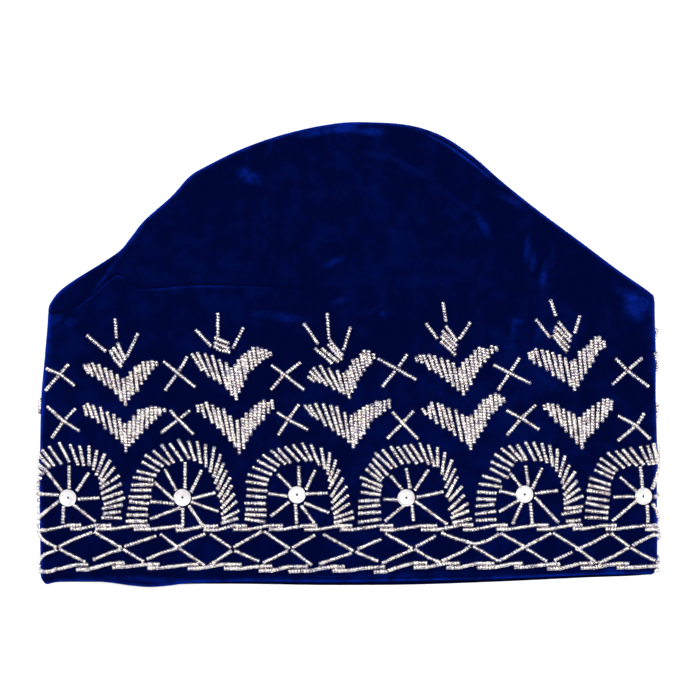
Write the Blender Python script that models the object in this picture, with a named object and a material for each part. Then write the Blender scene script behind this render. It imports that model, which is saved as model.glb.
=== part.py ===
"""A velvet cap folded flat in two layers and lying on its back layer.

X runs along the mouth, Y from the mouth to the crown, and Z up from the surface the cap lies on. The origin is
under the middle of the folded cap. Lengths in the tables are millimetres, and MM turns them to metres.
"""

import math
from collections import namedtuple

import bmesh
import bpy

MM = 0.001

# The cloth
WALL = 1.8
FOLD_RADIUS = 2.8
SEAM_GAP = 0.4

# The swell of the two layers from a folded edge to the middle of the cap
SWELL_REACH = 64.0

# The back layer lies on its own beads, so it stands this far off the ground along the beaded part
BEAD_LIFT = 2.0

# Columns across each layer, closer together over the tuck at the left
COLUMNS = 48
TUCK_COLUMNS = 18
TUCK_SHARE = 0.2

# Rows up the band, rows up each layer of the crown, and steps round half a folded edge
BAND_ROWS = 10
CROWN_ROWS = 7
FOLD_STEPS = 6
BAND_STATIONS = 2 * (COLUMNS + FOLD_STEPS)

# The sequins, one at the centre of each beaded arch
SEQUIN_RADIUS = 4.0
SEQUIN_HOLE = 0.6
SEQUIN_THICKNESS = 0.3
SEQUIN_CUP = 0.35
SEQUIN_STANDS_OFF = 0.3
SEQUIN_SIDES = 14

Side = namedtuple("Side", "y left right")
SIDES = [
    Side(-109.0, -145.0, 144.8),
    Side(-92.0, -145.2, 145.0),
    Side(-64.0, -145.5, 144.8),
    Side(-38.0, -145.2, 144.8),
    Side(-21.0, -144.8, 144.3),
    Side(1.0, -142.9, 144.3),
    Side(20.0, -141.5, 143.8),
    Side(32.0, -141.5, 143.8),
]

Hem = namedtuple("Hem", "x front back")
HEM = [
    Hem(-145.5, -102.5, -102.5),
    Hem(-145.0, -105.3, -105.3),
    Hem(-144.4, -106.5, -106.5),
    Hem(-143.4, -107.6, -107.6),
    Hem(-142.2, -108.1, -108.0),
    Hem(-140.5, -107.7, -107.7),
    Hem(-138.0, -107.0, -107.3),
    Hem(-133.0, -106.7, -107.1),
    Hem(-126.0, -106.6, -107.1),
    Hem(-113.0, -107.2, -107.3),
    Hem(-102.0, -108.7, -108.5),
    Hem(-93.0, -109.3, -109.0),
    Hem(-85.0, -108.7, -108.5),
    Hem(-76.0, -107.5, -108.1),
    Hem(-60.0, -106.8, -108.0),
    Hem(-6.0, -106.9, -108.6),
    Hem(28.0, -106.4, -108.4),
    Hem(67.0, -105.4, -107.1),
    Hem(112.0, -103.6, -105.0),
    Hem(140.0, -103.0, -103.7),
    Hem(143.0, -102.9, -103.4),
    Hem(144.3, -102.4, -102.6),
    Hem(145.0, -101.2, -101.2),
]

Seam = namedtuple("Seam", "x front back lip")
SEAM = [
    Seam(-142.0, 20.0, 20.0, 0.0),
    Seam(-138.0, 19.9, 20.6, 0.0),
    Seam(-129.0, 21.9, 24.5, 0.8),
    Seam(-119.0, 29.0, 28.8, 1.7),
    Seam(-108.0, 37.2, 30.8, 2.2),
    Seam(-104.0, 33.6, 31.0, 1.6),
    Seam(-98.0, 31.6, 31.2, 0.9),
    Seam(-85.0, 31.0, 31.3, 0.5),
    Seam(-30.0, 31.4, 31.3, 0.3),
    Seam(60.0, 31.0, 31.3, 0.0),
    Seam(120.0, 30.6, 30.8, 0.0),
    Seam(132.0, 29.0, 29.2, 0.0),
    Seam(140.0, 25.8, 25.8, 0.0),
    Seam(145.0, 25.0, 25.0, 0.0),
]
LIP_DEPTH = 9.0

Outline = namedtuple("Outline", "x y")
CROWN_OUTLINE = [
    Outline(-140.5, 24.0),
    Outline(-136.5, 29.5),
    Outline(-129.0, 35.2),
    Outline(-115.5, 43.6),
    Outline(-107.5, 49.2),
    Outline(-102.0, 56.0),
    Outline(-96.0, 63.4),
    Outline(-83.5, 74.5),
    Outline(-75.5, 83.4),
    Outline(-68.0, 88.2),
    Outline(-49.0, 97.4),
    Outline(-28.0, 104.4),
    Outline(-6.0, 108.8),
    Outline(11.0, 109.3),
    Outline(29.0, 107.8),
    Outline(44.0, 102.8),
    Outline(58.0, 93.6),
    Outline(72.0, 81.4),
    Outline(88.0, 68.6),
    Outline(108.6, 53.3),
    Outline(118.0, 46.2),
    Outline(127.4, 39.2),
    Outline(138.5, 31.5),
    Outline(141.8, 29.0),
    Outline(143.4, 27.4),
]

Swell = namedtuple("Swell", "y thickness lift")
SWELL = [
    Swell(-110.0, 10.4, 0.0),
    Swell(-106.0, 10.4, 0.0),
    Swell(-100.5, 10.8, BEAD_LIFT),
    Swell(-60.0, 11.4, BEAD_LIFT),
    Swell(-10.0, 11.6, BEAD_LIFT),
    Swell(26.0, 11.0, BEAD_LIFT),
    Swell(42.0, 11.2, 0.0),
    Swell(80.0, 10.6, 0.0),
    Swell(110.0, 9.0, 0.0),
]

# The crown's front layer is folded back on itself at the left, and rolls over along this edge
TUCK_EDGE = [Outline(-131.0, 18.0), Outline(-120.0, 33.0), Outline(-108.5, 48.5)]
TUCK_RISE = 1.9
TUCK_ROLL = 3.0
TUCK_FADE = 34.0

# Sequins by the place of their centres, and the layer they are sewn to
Sequin = namedtuple("Sequin", "x y layer")
FRONT_SEQUINS = [
    Sequin(-131.9, -67.3, 1),
    Sequin(-78.2, -67.1, 1),
    Sequin(-24.4, -65.8, 1),
    Sequin(26.9, -67.2, 1),
    Sequin(82.4, -65.6, 1),
    Sequin(138.2, -66.6, 1),
]
BACK_SEQUINS = 5
BACK_FIRST = 98.8
BACK_PITCH = -51.5
BACK_SEQUIN_Y = -66.6

Finish = namedtuple("Finish", "name colour roughness metallic")
VELVET = Finish("velvet", (0.002, 0.006, 0.060, 1.0), 0.9, 0.0)
PEARL = Finish("sequin_white", (0.85, 0.83, 0.85, 1.0), 0.2, 0.3)


def clear_scene():
    for obj in list(bpy.data.objects):
        bpy.data.objects.remove(obj, do_unlink=True)


def smooth(share):
    share = min(max(share, 0.0), 1.0)
    return share * share * (3.0 - 2.0 * share)


def read_row(table, key, place, column):
    """The value of a table's column at a place between its rows."""
    if place <= getattr(table[0], key):
        return getattr(table[0], column)
    for low, high in zip(table, table[1:]):
        start, end = getattr(low, key), getattr(high, key)
        if place <= end:
            share = (place - start) / (end - start)
            return getattr(low, column) * (1.0 - share) + getattr(high, column) * share
    return getattr(table[-1], column)


def read_swell(y, column):
    """The swell's columns ease from row to row, so that the cloth has no crease there."""
    for low, high in zip(SWELL, SWELL[1:]):
        if y <= high.y:
            share = smooth((y - low.y) / (high.y - low.y))
            return getattr(low, column) * (1.0 - share) + getattr(high, column) * share
    return getattr(SWELL[-1], column)


def curve_through(points, steps):
    """Points along a Catmull-Rom curve through the outline's own points."""
    ends = [points[0]] + list(points) + [points[-1]]
    curve = []
    for index in range(len(points) - 1):
        a, b, c, d = ends[index : index + 4]
        for step in range(steps):
            t = step / steps
            weights = (
                -0.5 * t + t * t - 0.5 * t ** 3,
                1.0 - 2.5 * t * t + 1.5 * t ** 3,
                0.5 * t + 2.0 * t * t - 1.5 * t ** 3,
                -0.5 * t * t + 0.5 * t ** 3,
            )
            x = sum(w * p.x for w, p in zip(weights, (a, b, c, d)))
            y = sum(w * p.y for w, p in zip(weights, (a, b, c, d)))
            curve.append(Outline(x, y))
    curve.append(points[-1])
    return curve


def side_point(y, name):
    return Outline(read_row(SIDES, "y", y, name), y)


def foot(side, seam):
    """Where the crown's outline leaves a folded edge of the band."""
    return Outline(read_row(SIDES, "y", seam.front, side), seam.front + SEAM_GAP)


LEFT_FOOT = foot("left", SEAM[0])
RIGHT_FOOT = foot("right", SEAM[-1])
CROWN_CURVE = curve_through([LEFT_FOOT] + CROWN_OUTLINE + [RIGHT_FOOT], 5)
LEFT_EDGE = [side_point(y, "left") for y in (-112.0, -64.0, -38.0, 1.0)]
RIGHT_EDGE = [side_point(y, "right") for y in (1.0, -38.0, -64.0, -112.0)]
FOLDED_EDGE = LEFT_EDGE + CROWN_CURVE + RIGHT_EDGE


def segment_distance(x, y, a, b):
    """How far a point is from a segment, and on which side of it: positive to its right."""
    dx, dy = b.x - a.x, b.y - a.y
    length = dx * dx + dy * dy
    share = min(max(((x - a.x) * dx + (y - a.y) * dy) / length, 0.0), 1.0)
    away = math.hypot(x - a.x - share * dx, y - a.y - share * dy)
    side = (x - a.x) * dy - (y - a.y) * dx
    return away, math.copysign(1.0, side)


def edge_distance(x, y):
    pairs = zip(FOLDED_EDGE, FOLDED_EDGE[1:])
    return min(segment_distance(x, y, a, b)[0] for a, b in pairs)


def half_thickness(x, y):
    """Half the folded cap's thickness: a plain roll at a folded edge, swelling to the middle."""
    inward = max(edge_distance(x, y) - FOLD_RADIUS, 0.0)
    share = math.sin(min(inward / SWELL_REACH, 1.0) * math.pi / 2.0)
    return FOLD_RADIUS + (read_swell(y, "thickness") / 2.0 - FOLD_RADIUS) * share


def height(x, y, rise):
    """rise is 1 on the front layer, -1 on the back one, and between them round a folded edge."""
    return read_swell(y, "lift") + half_thickness(x, y) * (1.0 + rise)


def tuck_relief(x, y):
    """The roll of the crown's front layer beside its tuck."""
    near = [segment_distance(x, y, a, b) for a, b in zip(TUCK_EDGE, TUCK_EDGE[1:])]
    away, side = min(near)
    if side < 0.0:
        return 0.0
    return TUCK_RISE * smooth(away / TUCK_ROLL) * math.exp(-away / TUCK_FADE)


def across(column):
    """The share of the way from the left fold to the right one."""
    if column <= TUCK_COLUMNS:
        return TUCK_SHARE * column / TUCK_COLUMNS
    beyond = (column - TUCK_COLUMNS) / (COLUMNS - TUCK_COLUMNS)
    return TUCK_SHARE + (1.0 - TUCK_SHARE) * beyond


def fold_angle(step):
    """From the front layer, at a quarter turn, round the edge to the back layer."""
    return math.pi / 2.0 - math.pi * step / FOLD_STEPS


def section_station(index):
    """A station round the band: share across, reach past the roll's centre, and rise."""
    if index <= COLUMNS:
        return across(index), 0.0, 1.0
    index -= COLUMNS
    if index < FOLD_STEPS:
        angle = fold_angle(index)
        return 1.0, math.cos(angle), math.sin(angle)
    index -= FOLD_STEPS
    if index <= COLUMNS:
        return across(COLUMNS - index), 0.0, -1.0
    angle = fold_angle(FOLD_STEPS - index + COLUMNS)
    return 0.0, -math.cos(angle), math.sin(angle)


def layer_mix(table, x, rise):
    """A table's front and back columns, blended round the folded edge."""
    share = (1.0 + rise) / 2.0
    front = read_row(table, "x", x, "front")
    back = read_row(table, "x", x, "back")
    return back + (front - back) * share


def plan_x(y, share, reach):
    left = read_row(SIDES, "y", y, "left") + FOLD_RADIUS
    right = read_row(SIDES, "y", y, "right") - FOLD_RADIUS
    return left + (right - left) * share + reach * FOLD_RADIUS


def wall_point(x, y, z, normal, layer):
    """A point of the cloth: layer 1 is its outer face, layer 0 its inner one."""
    depth = WALL * (1.0 - layer)
    return (x - normal[0] * depth) * MM, (y - normal[1] * depth) * MM, (z - normal[2] * depth) * MM


def band_point(station, row, layer):
    share, reach, rise = section_station(station % BAND_STATIONS)
    row_share = band_row(row)
    seam_x = plan_x(SEAM[0].front, share, reach)
    seam = layer_mix(SEAM, seam_x, rise)
    hem = layer_mix(HEM, plan_x(HEM[0].front, share, reach), rise)
    y = hem + (seam - hem) * row_share
    x = seam_x if row_share == 1.0 else plan_x(y, share, reach)
    lip = read_row(SEAM, "x", seam_x, "lip") * max(rise, 0.0)
    z = height(x, y, rise) + lip * smooth(1.0 - (seam - y) / LIP_DEPTH)
    return wall_point(x, y, z, (reach, 0.0, rise), layer)


def band_row(row):
    """Rows crowd together at the hem and at the seam, where the cloth turns most."""
    share = row / BAND_ROWS
    return share - 0.09 * math.sin(2.0 * math.pi * share)


def outline_point(share):
    """A point at a share of the way along the crown's outline."""
    lengths = [math.dist(a, b) for a, b in zip(CROWN_CURVE, CROWN_CURVE[1:])]
    left = share * sum(lengths)
    for length, a, b in zip(lengths, CROWN_CURVE, CROWN_CURVE[1:]):
        if left <= length:
            part = left / length
            return Outline(a.x + (b.x - a.x) * part, a.y + (b.y - a.y) * part)
        left -= length
    return CROWN_CURVE[-1]


def crown_station(row):
    """A station from the front seam over the folded edge to the back one: way up, reach, rise."""
    if row <= CROWN_ROWS:
        return row / CROWN_ROWS, 0.0, 1.0
    row -= CROWN_ROWS
    if row < FOLD_STEPS:
        angle = fold_angle(row)
        return 1.0, math.cos(angle), math.sin(angle)
    return 1.0 - (row - FOLD_STEPS) / CROWN_ROWS, 0.0, -1.0


def crown_point(column, row, layer):
    share = across(column)
    way_up, reach, rise = crown_station(row)
    edge = outline_point(share)
    seam_x = plan_x(SEAM[0].front, share, 0.0)
    seam_y = layer_mix(SEAM, seam_x, rise) + SEAM_GAP
    run_x, run_y = edge.x - seam_x, edge.y - seam_y
    run = math.hypot(run_x, run_y)
    travel = (run - min(run, FOLD_RADIUS)) * way_up + min(run, FOLD_RADIUS) * reach
    x = seam_x + run_x * travel / run
    y = seam_y + run_y * travel / run
    z = height(x, y, rise) + tuck_relief(x, y) * max(rise, 0.0)
    return wall_point(x, y, z, (run_x / run * reach, run_y / run * reach, rise), layer)


def finished(obj, finish):
    """A material of the piece's colour."""
    material = bpy.data.materials.new(finish.name)
    material.use_nodes = True
    shader = material.node_tree.nodes["Principled BSDF"]
    shader.inputs["Base Color"].default_value = finish.colour
    shader.inputs["Roughness"].default_value = finish.roughness
    shader.inputs["Metallic"].default_value = finish.metallic
    material.diffuse_color = finish.colour
    obj.data.materials.append(material)
    return obj


def new_object(name, bm, collection):
    mesh = bpy.data.meshes.new(name)
    bm.to_mesh(mesh)
    bm.free()
    obj = bpy.data.objects.new(name, mesh)
    collection.objects.link(obj)
    return obj


def cloth(name, columns, rows, place, collection, is_tube=False):
    """A flat slab of columns and rows, one wall thick, with each of its points put in place."""
    bm = bmesh.new()
    bmesh.ops.create_grid(bm, x_segments=columns, y_segments=rows, size=1.0)
    inner = bm.verts[:] + bm.edges[:] + bm.faces[:]
    outer = bmesh.ops.extrude_face_region(bm, geom=inner, use_keep_orig=True)["geom"]
    outer_verts = [item for item in outer if isinstance(item, bmesh.types.BMVert)]
    bmesh.ops.translate(bm, verts=outer_verts, vec=(0.0, 0.0, 1.0))
    if is_tube:
        ends = [face for face in bm.faces if all(abs(v.co.x) > 0.999 for v in face.verts)]
        bmesh.ops.delete(bm, geom=ends, context="FACES_ONLY")
    bmesh.ops.recalc_face_normals(bm, faces=bm.faces)
    for vert in bm.verts:
        column = round((vert.co.x + 1.0) / 2.0 * columns)
        row = round((vert.co.y + 1.0) / 2.0 * rows)
        vert.co = place(column, row, round(vert.co.z))
    bmesh.ops.remove_doubles(bm, verts=bm.verts, dist=0.02 * MM)
    obj = new_object(name, bm, collection)
    obj.data.shade_smooth()
    return finished(obj, VELVET)


def side_band(collection):
    """The tube round the head, pressed flat and open at the mouth and at the seam."""
    return cloth("side_band", BAND_STATIONS, BAND_ROWS, band_point, collection, is_tube=True)


def crown(collection):
    """The dome pressed flat: one sheet from the front seam over the folded edge to the back seam."""
    return cloth("crown", COLUMNS, 2 * CROWN_ROWS + FOLD_STEPS, crown_point, collection)


def sequin_profile():
    """A cupped washer's section, from its outer rim along the top to the hole and back."""
    middle = (SEQUIN_RADIUS + SEQUIN_HOLE) / 2.0
    low = [(SEQUIN_HOLE, 0.0), (middle, SEQUIN_CUP * 0.25), (SEQUIN_RADIUS, SEQUIN_CUP)]
    high = [(radius, z + SEQUIN_THICKNESS) for radius, z in reversed(low)]
    return high + low


def sequin_mesh():
    bm = bmesh.new()
    points = [bm.verts.new((radius * MM, 0.0, z * MM)) for radius, z in sequin_profile()]
    edges = [bm.edges.new(pair) for pair in zip(points, points[1:] + points[:1])]
    bmesh.ops.spin(
        bm,
        geom=points + edges,
        axis=(0.0, 0.0, 1.0),
        cent=(0.0, 0.0, 0.0),
        steps=SEQUIN_SIDES,
        angle=2.0 * math.pi,
        use_merge=True,
    )
    bmesh.ops.recalc_face_normals(bm, faces=bm.faces)
    mesh = bpy.data.meshes.new("sequin")
    bm.to_mesh(mesh)
    bm.free()
    mesh.shade_smooth()
    return mesh


def surface_slope(x, y, rise):
    """How far the layer's height changes across one sequin, as a tilt about Y."""
    low, high = height(x - SEQUIN_RADIUS, y, rise), height(x + SEQUIN_RADIUS, y, rise)
    return math.atan2(high - low, 2.0 * SEQUIN_RADIUS)


def sequins(collection):
    back = [
        Sequin(BACK_FIRST + BACK_PITCH * index, BACK_SEQUIN_Y, -1)
        for index in range(BACK_SEQUINS)
    ]
    mesh = sequin_mesh()
    for number, sequin in enumerate(FRONT_SEQUINS + back, start=1):
        obj = bpy.data.objects.new(f"sequin_{number:02d}", mesh.copy())
        collection.objects.link(obj)
        slope = surface_slope(sequin.x, sequin.y, sequin.layer)
        z = height(sequin.x, sequin.y, sequin.layer) + SEQUIN_STANDS_OFF * sequin.layer
        obj.location = (sequin.x * MM, sequin.y * MM, z * MM)
        turn = 0.0 if sequin.layer > 0 else math.pi
        obj.rotation_euler = (0.0, turn - slope, 0.0)
        finished(obj, PEARL)


def main():
    clear_scene()
    collection = bpy.data.collections.new("velvet_hat")
    bpy.context.scene.collection.children.link(collection)
    side_band(collection)
    crown(collection)
    sequins(collection)


main()
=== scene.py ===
"""A beaded velvet cap folded flat: its cloth, its embroidery of seed beads and sequins, and a plain studio.

X runs along the mouth, Y from the mouth to the crown, and Z up from the surface that the cap lies on.
Shapes are in millimetres and MM turns them to metres. The embroidery is drawn on the flat pattern of the
side band in pixels of the photo, which run on past the right fold and along the back layer.
"""

import math
from collections import namedtuple

import bmesh
import bpy
import numpy as np
from mathutils import Matrix, Vector
from mathutils.bvhtree import BVHTree


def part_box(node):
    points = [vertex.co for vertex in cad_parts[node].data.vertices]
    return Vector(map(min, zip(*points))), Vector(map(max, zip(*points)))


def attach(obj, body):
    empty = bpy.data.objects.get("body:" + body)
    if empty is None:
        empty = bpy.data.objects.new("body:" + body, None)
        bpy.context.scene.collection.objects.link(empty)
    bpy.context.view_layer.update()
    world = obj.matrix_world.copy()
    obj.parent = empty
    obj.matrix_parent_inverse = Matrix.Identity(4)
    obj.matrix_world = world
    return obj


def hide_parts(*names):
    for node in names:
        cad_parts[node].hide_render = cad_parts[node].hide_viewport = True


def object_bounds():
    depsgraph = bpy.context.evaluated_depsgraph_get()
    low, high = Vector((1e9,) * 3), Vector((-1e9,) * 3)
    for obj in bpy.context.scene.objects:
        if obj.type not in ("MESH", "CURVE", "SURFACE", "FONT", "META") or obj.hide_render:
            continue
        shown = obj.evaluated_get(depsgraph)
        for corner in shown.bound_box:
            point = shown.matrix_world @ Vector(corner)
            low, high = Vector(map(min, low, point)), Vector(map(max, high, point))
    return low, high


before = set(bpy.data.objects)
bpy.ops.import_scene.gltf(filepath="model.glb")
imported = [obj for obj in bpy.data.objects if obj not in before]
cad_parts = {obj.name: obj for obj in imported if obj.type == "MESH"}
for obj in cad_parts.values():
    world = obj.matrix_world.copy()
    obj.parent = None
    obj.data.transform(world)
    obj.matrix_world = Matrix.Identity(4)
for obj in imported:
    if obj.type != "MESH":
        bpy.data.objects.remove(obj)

bl_info = {
    "name": "Beaded Velvet Cap",
    "version": (1, 0, 0),
    "blender": (4, 5, 0),
    "location": "3D View > Sidebar > Velvet Cap",
    "description": "Makes the cloth, the embroidery and the studio of a velvet cap folded flat",
    "category": "Object",
}

CAD_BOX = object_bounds()
MM = 0.001
PIXEL = 0.47
PHOTO_MIDDLE = (349.0, 354.5)
FRAME_PIXELS = 700

# The folded cloth
WALL = 1.8
FOLD_RADIUS = 2.8
SWELL_REACH = 64.0
BEAD_LIFT = 2.0
LIP_DEPTH = 9.0

Side = namedtuple("Side", "y left right")
SIDES = [
    Side(-109.0, -145.0, 144.8),
    Side(-92.0, -145.2, 145.0),
    Side(-64.0, -145.5, 144.8),
    Side(-38.0, -145.2, 144.8),
    Side(-21.0, -144.8, 144.3),
    Side(1.0, -142.9, 144.3),
    Side(20.0, -141.5, 143.8),
    Side(32.0, -141.5, 143.8),
]

Hem = namedtuple("Hem", "x front back")
HEM = [
    Hem(-145.5, -102.5, -102.5),
    Hem(-145.0, -105.3, -105.3),
    Hem(-144.4, -106.5, -106.5),
    Hem(-143.4, -107.6, -107.6),
    Hem(-142.2, -108.1, -108.0),
    Hem(-140.5, -107.7, -107.7),
    Hem(-138.0, -107.0, -107.3),
    Hem(-133.0, -106.7, -107.1),
    Hem(-126.0, -106.6, -107.1),
    Hem(-113.0, -107.2, -107.3),
    Hem(-102.0, -108.7, -108.5),
    Hem(-93.0, -109.3, -109.0),
    Hem(-85.0, -108.7, -108.5),
    Hem(-76.0, -107.5, -108.1),
    Hem(-60.0, -106.8, -108.0),
    Hem(-6.0, -106.9, -108.6),
    Hem(28.0, -106.4, -108.4),
    Hem(67.0, -105.4, -107.1),
    Hem(112.0, -103.6, -105.0),
    Hem(140.0, -103.0, -103.7),
    Hem(143.0, -102.9, -103.4),
    Hem(144.3, -102.4, -102.6),
    Hem(145.0, -101.2, -101.2),
]

# Seam rows: x, the seam's height on the front and back layers, how far the lip rises, how deep the groove
# is, and shine, the strength of the painted highlight along the lip
Seam = namedtuple("Seam", "x front back lip groove shine")
SEAM = [
    Seam(-142.0, 20.0, 20.0, 0.0, 0.3, 0.0),
    Seam(-138.0, 19.9, 20.6, 0.0, 0.4, 0.0),
    Seam(-131.0, 20.9, 23.6, 0.5, 1.0, 0.2),
    Seam(-128.0, 22.4, 25.0, 0.9, 1.5, 0.55),
    Seam(-119.0, 29.2, 28.8, 1.7, 2.2, 0.8),
    Seam(-112.0, 35.4, 30.3, 2.2, 2.4, 0.9),
    Seam(-107.8, 37.2, 30.8, 2.2, 2.4, 0.8),
    Seam(-103.9, 33.4, 31.0, 1.6, 2.0, 0.4),
    Seam(-99.5, 31.3, 31.2, 0.9, 1.6, 0.5),
    Seam(-92.0, 30.9, 31.3, 0.6, 1.4, 0.9),
    Seam(-80.0, 32.0, 31.3, 0.5, 1.2, 0.7),
    Seam(-64.0, 32.4, 31.3, 0.4, 1.0, 0.8),
    Seam(-45.0, 32.0, 31.3, 0.3, 0.9, 0.45),
    Seam(-28.0, 31.4, 31.3, 0.2, 0.6, 0.15),
    Seam(-14.0, 31.2, 31.3, 0.1, 0.3, 0.0),
    Seam(0.0, 31.2, 31.3, 0.0, 0.2, 0.0),
    Seam(60.0, 31.0, 31.3, 0.0, 0.1, 0.0),
    Seam(120.0, 30.7, 30.8, 0.0, 0.1, 0.0),
    Seam(132.0, 29.6, 29.6, 0.0, 0.1, 0.0),
    Seam(140.0, 27.2, 27.2, 0.0, 0.1, 0.0),
    Seam(145.0, 25.4, 25.4, 0.0, 0.1, 0.0),
]

Outline = namedtuple("Outline", "x y")
CROWN_OUTLINE = [
    Outline(-141.2, 18.6),
    Outline(-141.4, 20.8),
    Outline(-140.5, 24.0),
    Outline(-136.5, 29.5),
    Outline(-129.0, 35.2),
    Outline(-115.5, 43.6),
    Outline(-107.5, 49.2),
    Outline(-102.0, 56.0),
    Outline(-96.0, 63.4),
    Outline(-83.5, 74.5),
    Outline(-75.5, 83.4),
    Outline(-68.0, 88.2),
    Outline(-49.0, 97.4),
    Outline(-28.0, 104.4),
    Outline(-6.0, 108.8),
    Outline(11.0, 109.3),
    Outline(29.0, 107.8),
    Outline(44.0, 102.8),
    Outline(58.0, 93.6),
    Outline(72.0, 81.4),
    Outline(88.0, 68.6),
    Outline(108.6, 53.3),
    Outline(118.0, 46.2),
    Outline(127.4, 39.2),
    Outline(138.5, 31.5),
    Outline(141.8, 29.0),
    Outline(143.4, 27.4),
    Outline(143.6, 23.4),
]

Swell = namedtuple("Swell", "y thickness lift")
SWELL = [
    Swell(-110.0, 10.4, 0.0),
    Swell(-106.0, 10.4, 0.0),
    Swell(-100.5, 10.8, BEAD_LIFT),
    Swell(-60.0, 11.4, BEAD_LIFT),
    Swell(-10.0, 11.6, BEAD_LIFT),
    Swell(26.0, 11.0, BEAD_LIFT),
    Swell(42.0, 11.2, 0.0),
    Swell(80.0, 10.6, 0.0),
    Swell(110.0, 9.0, 0.0),
]

# The crown's front layer rolls over along this edge, beside the flap tucked under it at the left
TUCK_EDGE = [Outline(-131.0, 18.0), Outline(-119.9, 32.7), Outline(-108.6, 48.2), Outline(-99.0, 60.5)]
TUCK_RISE = 1.9
TUCK_ROLL = 1.8
TUCK_FADE = 34.0

# The back layer shows past the front one along this stretch of the crown's edge
CRESCENT_START = 30.0
CRESCENT_END = 74.0
CRESCENT_FOOT = 60.0
CRESCENT_WIDTH = 1.9
CRESCENT_DEPTH = 1.3
CRESCENT_CREASE = 0.5
CRESCENT_FULLNESS = 0.6

# How far short of the seam the crown's edge dives under the band, where the seam shows and where it doesn't.
# A narrow crown, at its corners, has less room for the rows of cells near the seam
SEAM_SETBACK = 1.4
PLAIN_SETBACK = 2.3
SETBACK_CHANGE = 3.0
DIVE_WIDTH = 1.5
SEAM_ROOM = 12.0

# Slack in the cloth: long shallow waves
WAVES = 14
WAVE_HEIGHT = 0.07
WAVE_LONGEST = 90.0
WAVE_SHORTEST = 22.0
LAYER_SHIFT = 1.7
SLACK_RISE = 4.0

# Where the cloth's pile has a painted highlight line, or lies in painted shade
LIP_LINE = 0.55
LIP_SHINE = 2.0
FOLD_LINE = 0.9
FOLD_SHINE = 3.0
CRESCENT_SHINE = 1.6
ROLL_LINE = 0.7
ROLL_SHINE = 0.5
HEM_LINE = 0.8
HEM_SHINE = 2.2
HEM_TURN = 1.0
HEM_SHADE = 4.0
FLAP_SHADE = 9.0
FLAP_DARKNESS = 0.9
SEAM_SHADE = 1.4
GROOVE_SHADE = 2.0

# Cells of the cloth's mesh, and how they gather where the cloth turns
FRONT_COLUMNS = 280
BACK_COLUMNS = 150
BAND_ROWS = 84
INNER_ROWS = 12
ROLL_STEPS = 5
FOLD_STEPS = 14
CROWN_COLUMNS = 330
CROWN_FRONT_ROWS = 56
CROWN_BACK_ROWS = 26
CROWN_FOLD_STEPS = 20
ROWS_TO_ENDS = 0.09
ROWS_TO_FOLD = 1.5
INNER_OVERLAP = 0.01
WELD = 0.002
NEAR_SEAM = (-1.2, -0.7, -0.2, 0.3, 0.9, 1.6, 2.4, 3.4)


def pattern_place(pixels):
    """Points of the photo as millimetres of the flat pattern."""
    pixels = np.asarray(pixels, float)
    return (pixels - PHOTO_MIDDLE) * (PIXEL, -PIXEL)


def smooth(share):
    share = np.clip(share, 0.0, 1.0)
    return share * share * (3.0 - 2.0 * share)


def column(table, name):
    return np.array([getattr(row, name) for row in table], float)


def flow(table, key, name, places):
    """A table's column, read as a smooth curve through its rows."""
    keys, values = column(table, key), column(table, name)
    slopes = np.gradient(values, keys)
    index = np.clip(np.searchsorted(keys, places) - 1, 0, len(keys) - 2)
    span = keys[index + 1] - keys[index]
    t = np.clip((places - keys[index]) / span, 0.0, 1.0)
    rising, falling = t * t * (3.0 - 2.0 * t), t * (t - 1.0)
    bend = falling * ((t - 1.0) * slopes[index] + t * slopes[index + 1]) * span
    return values[index] * (1.0 - rising) + values[index + 1] * rising + bend


def ease(table, key, name, places):
    """A table's column, level at each row and eased between them."""
    keys, values = column(table, key), column(table, name)
    index = np.clip(np.searchsorted(keys, places) - 1, 0, len(keys) - 2)
    share = smooth((places - keys[index]) / (keys[index + 1] - keys[index]))
    return values[index] * (1.0 - share) + values[index + 1] * share


def curve_through(points, steps):
    """Points along a Catmull-Rom curve through an outline's own points, as rows of an array."""
    points = np.array(points, float)
    ends = np.vstack([points[:1], points, points[-1:]])
    t = np.linspace(0.0, 1.0, steps, endpoint=False)[:, None]
    runs = []
    for a, b, c, d in zip(ends, ends[1:], ends[2:], ends[3:]):
        bend = (2.0 * a - 5.0 * b + 4.0 * c - d) * t * t + (3.0 * b - a - 3.0 * c + d) * t ** 3
        runs.append(b + 0.5 * ((c - a) * t + bend))
    return np.vstack(runs + [points[-1:]])


CROWN_CURVE = curve_through(CROWN_OUTLINE, 12)
LEFT_EDGE = [(flow(SIDES, "y", "left", y), y) for y in (-112.0, -64.0, -38.0, 1.0)]
RIGHT_EDGE = [(flow(SIDES, "y", "right", y), y) for y in (1.0, -38.0, -64.0, -112.0)]
FOLDED_EDGE = np.vstack([LEFT_EDGE, CROWN_CURVE[::3], RIGHT_EDGE])


def nearest(x, y, line):
    """How far points are from a line of points, and on which side of it: positive to its right."""
    best = np.full(np.shape(x), 1e9)
    side = np.ones(np.shape(x))
    for (ax, ay), (bx, by) in zip(line, line[1:]):
        dx, dy = bx - ax, by - ay
        share = np.clip(((x - ax) * dx + (y - ay) * dy) / (dx * dx + dy * dy), 0.0, 1.0)
        away = np.hypot(x - ax - share * dx, y - ay - share * dy)
        is_nearer = away < best
        best = np.where(is_nearer, away, best)
        side = np.where(is_nearer, np.sign((x - ax) * dy - (y - ay) * dx), side)
    return best, side


def waves(x, y, rise):
    """Slack in the cloth, different on its two layers."""
    random = np.random.default_rng(seed=7)
    total = np.zeros(np.shape(x))
    for _ in range(WAVES):
        turn = random.uniform(0.0, math.pi)
        length = random.uniform(WAVE_SHORTEST, WAVE_LONGEST)
        start = random.uniform(0.0, 2.0 * math.pi) + LAYER_SHIFT * np.sign(rise)
        total += np.sin((x * math.cos(turn) + y * math.sin(turn)) * 2.0 * math.pi / length + start)
    return total * WAVE_HEIGHT


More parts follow.
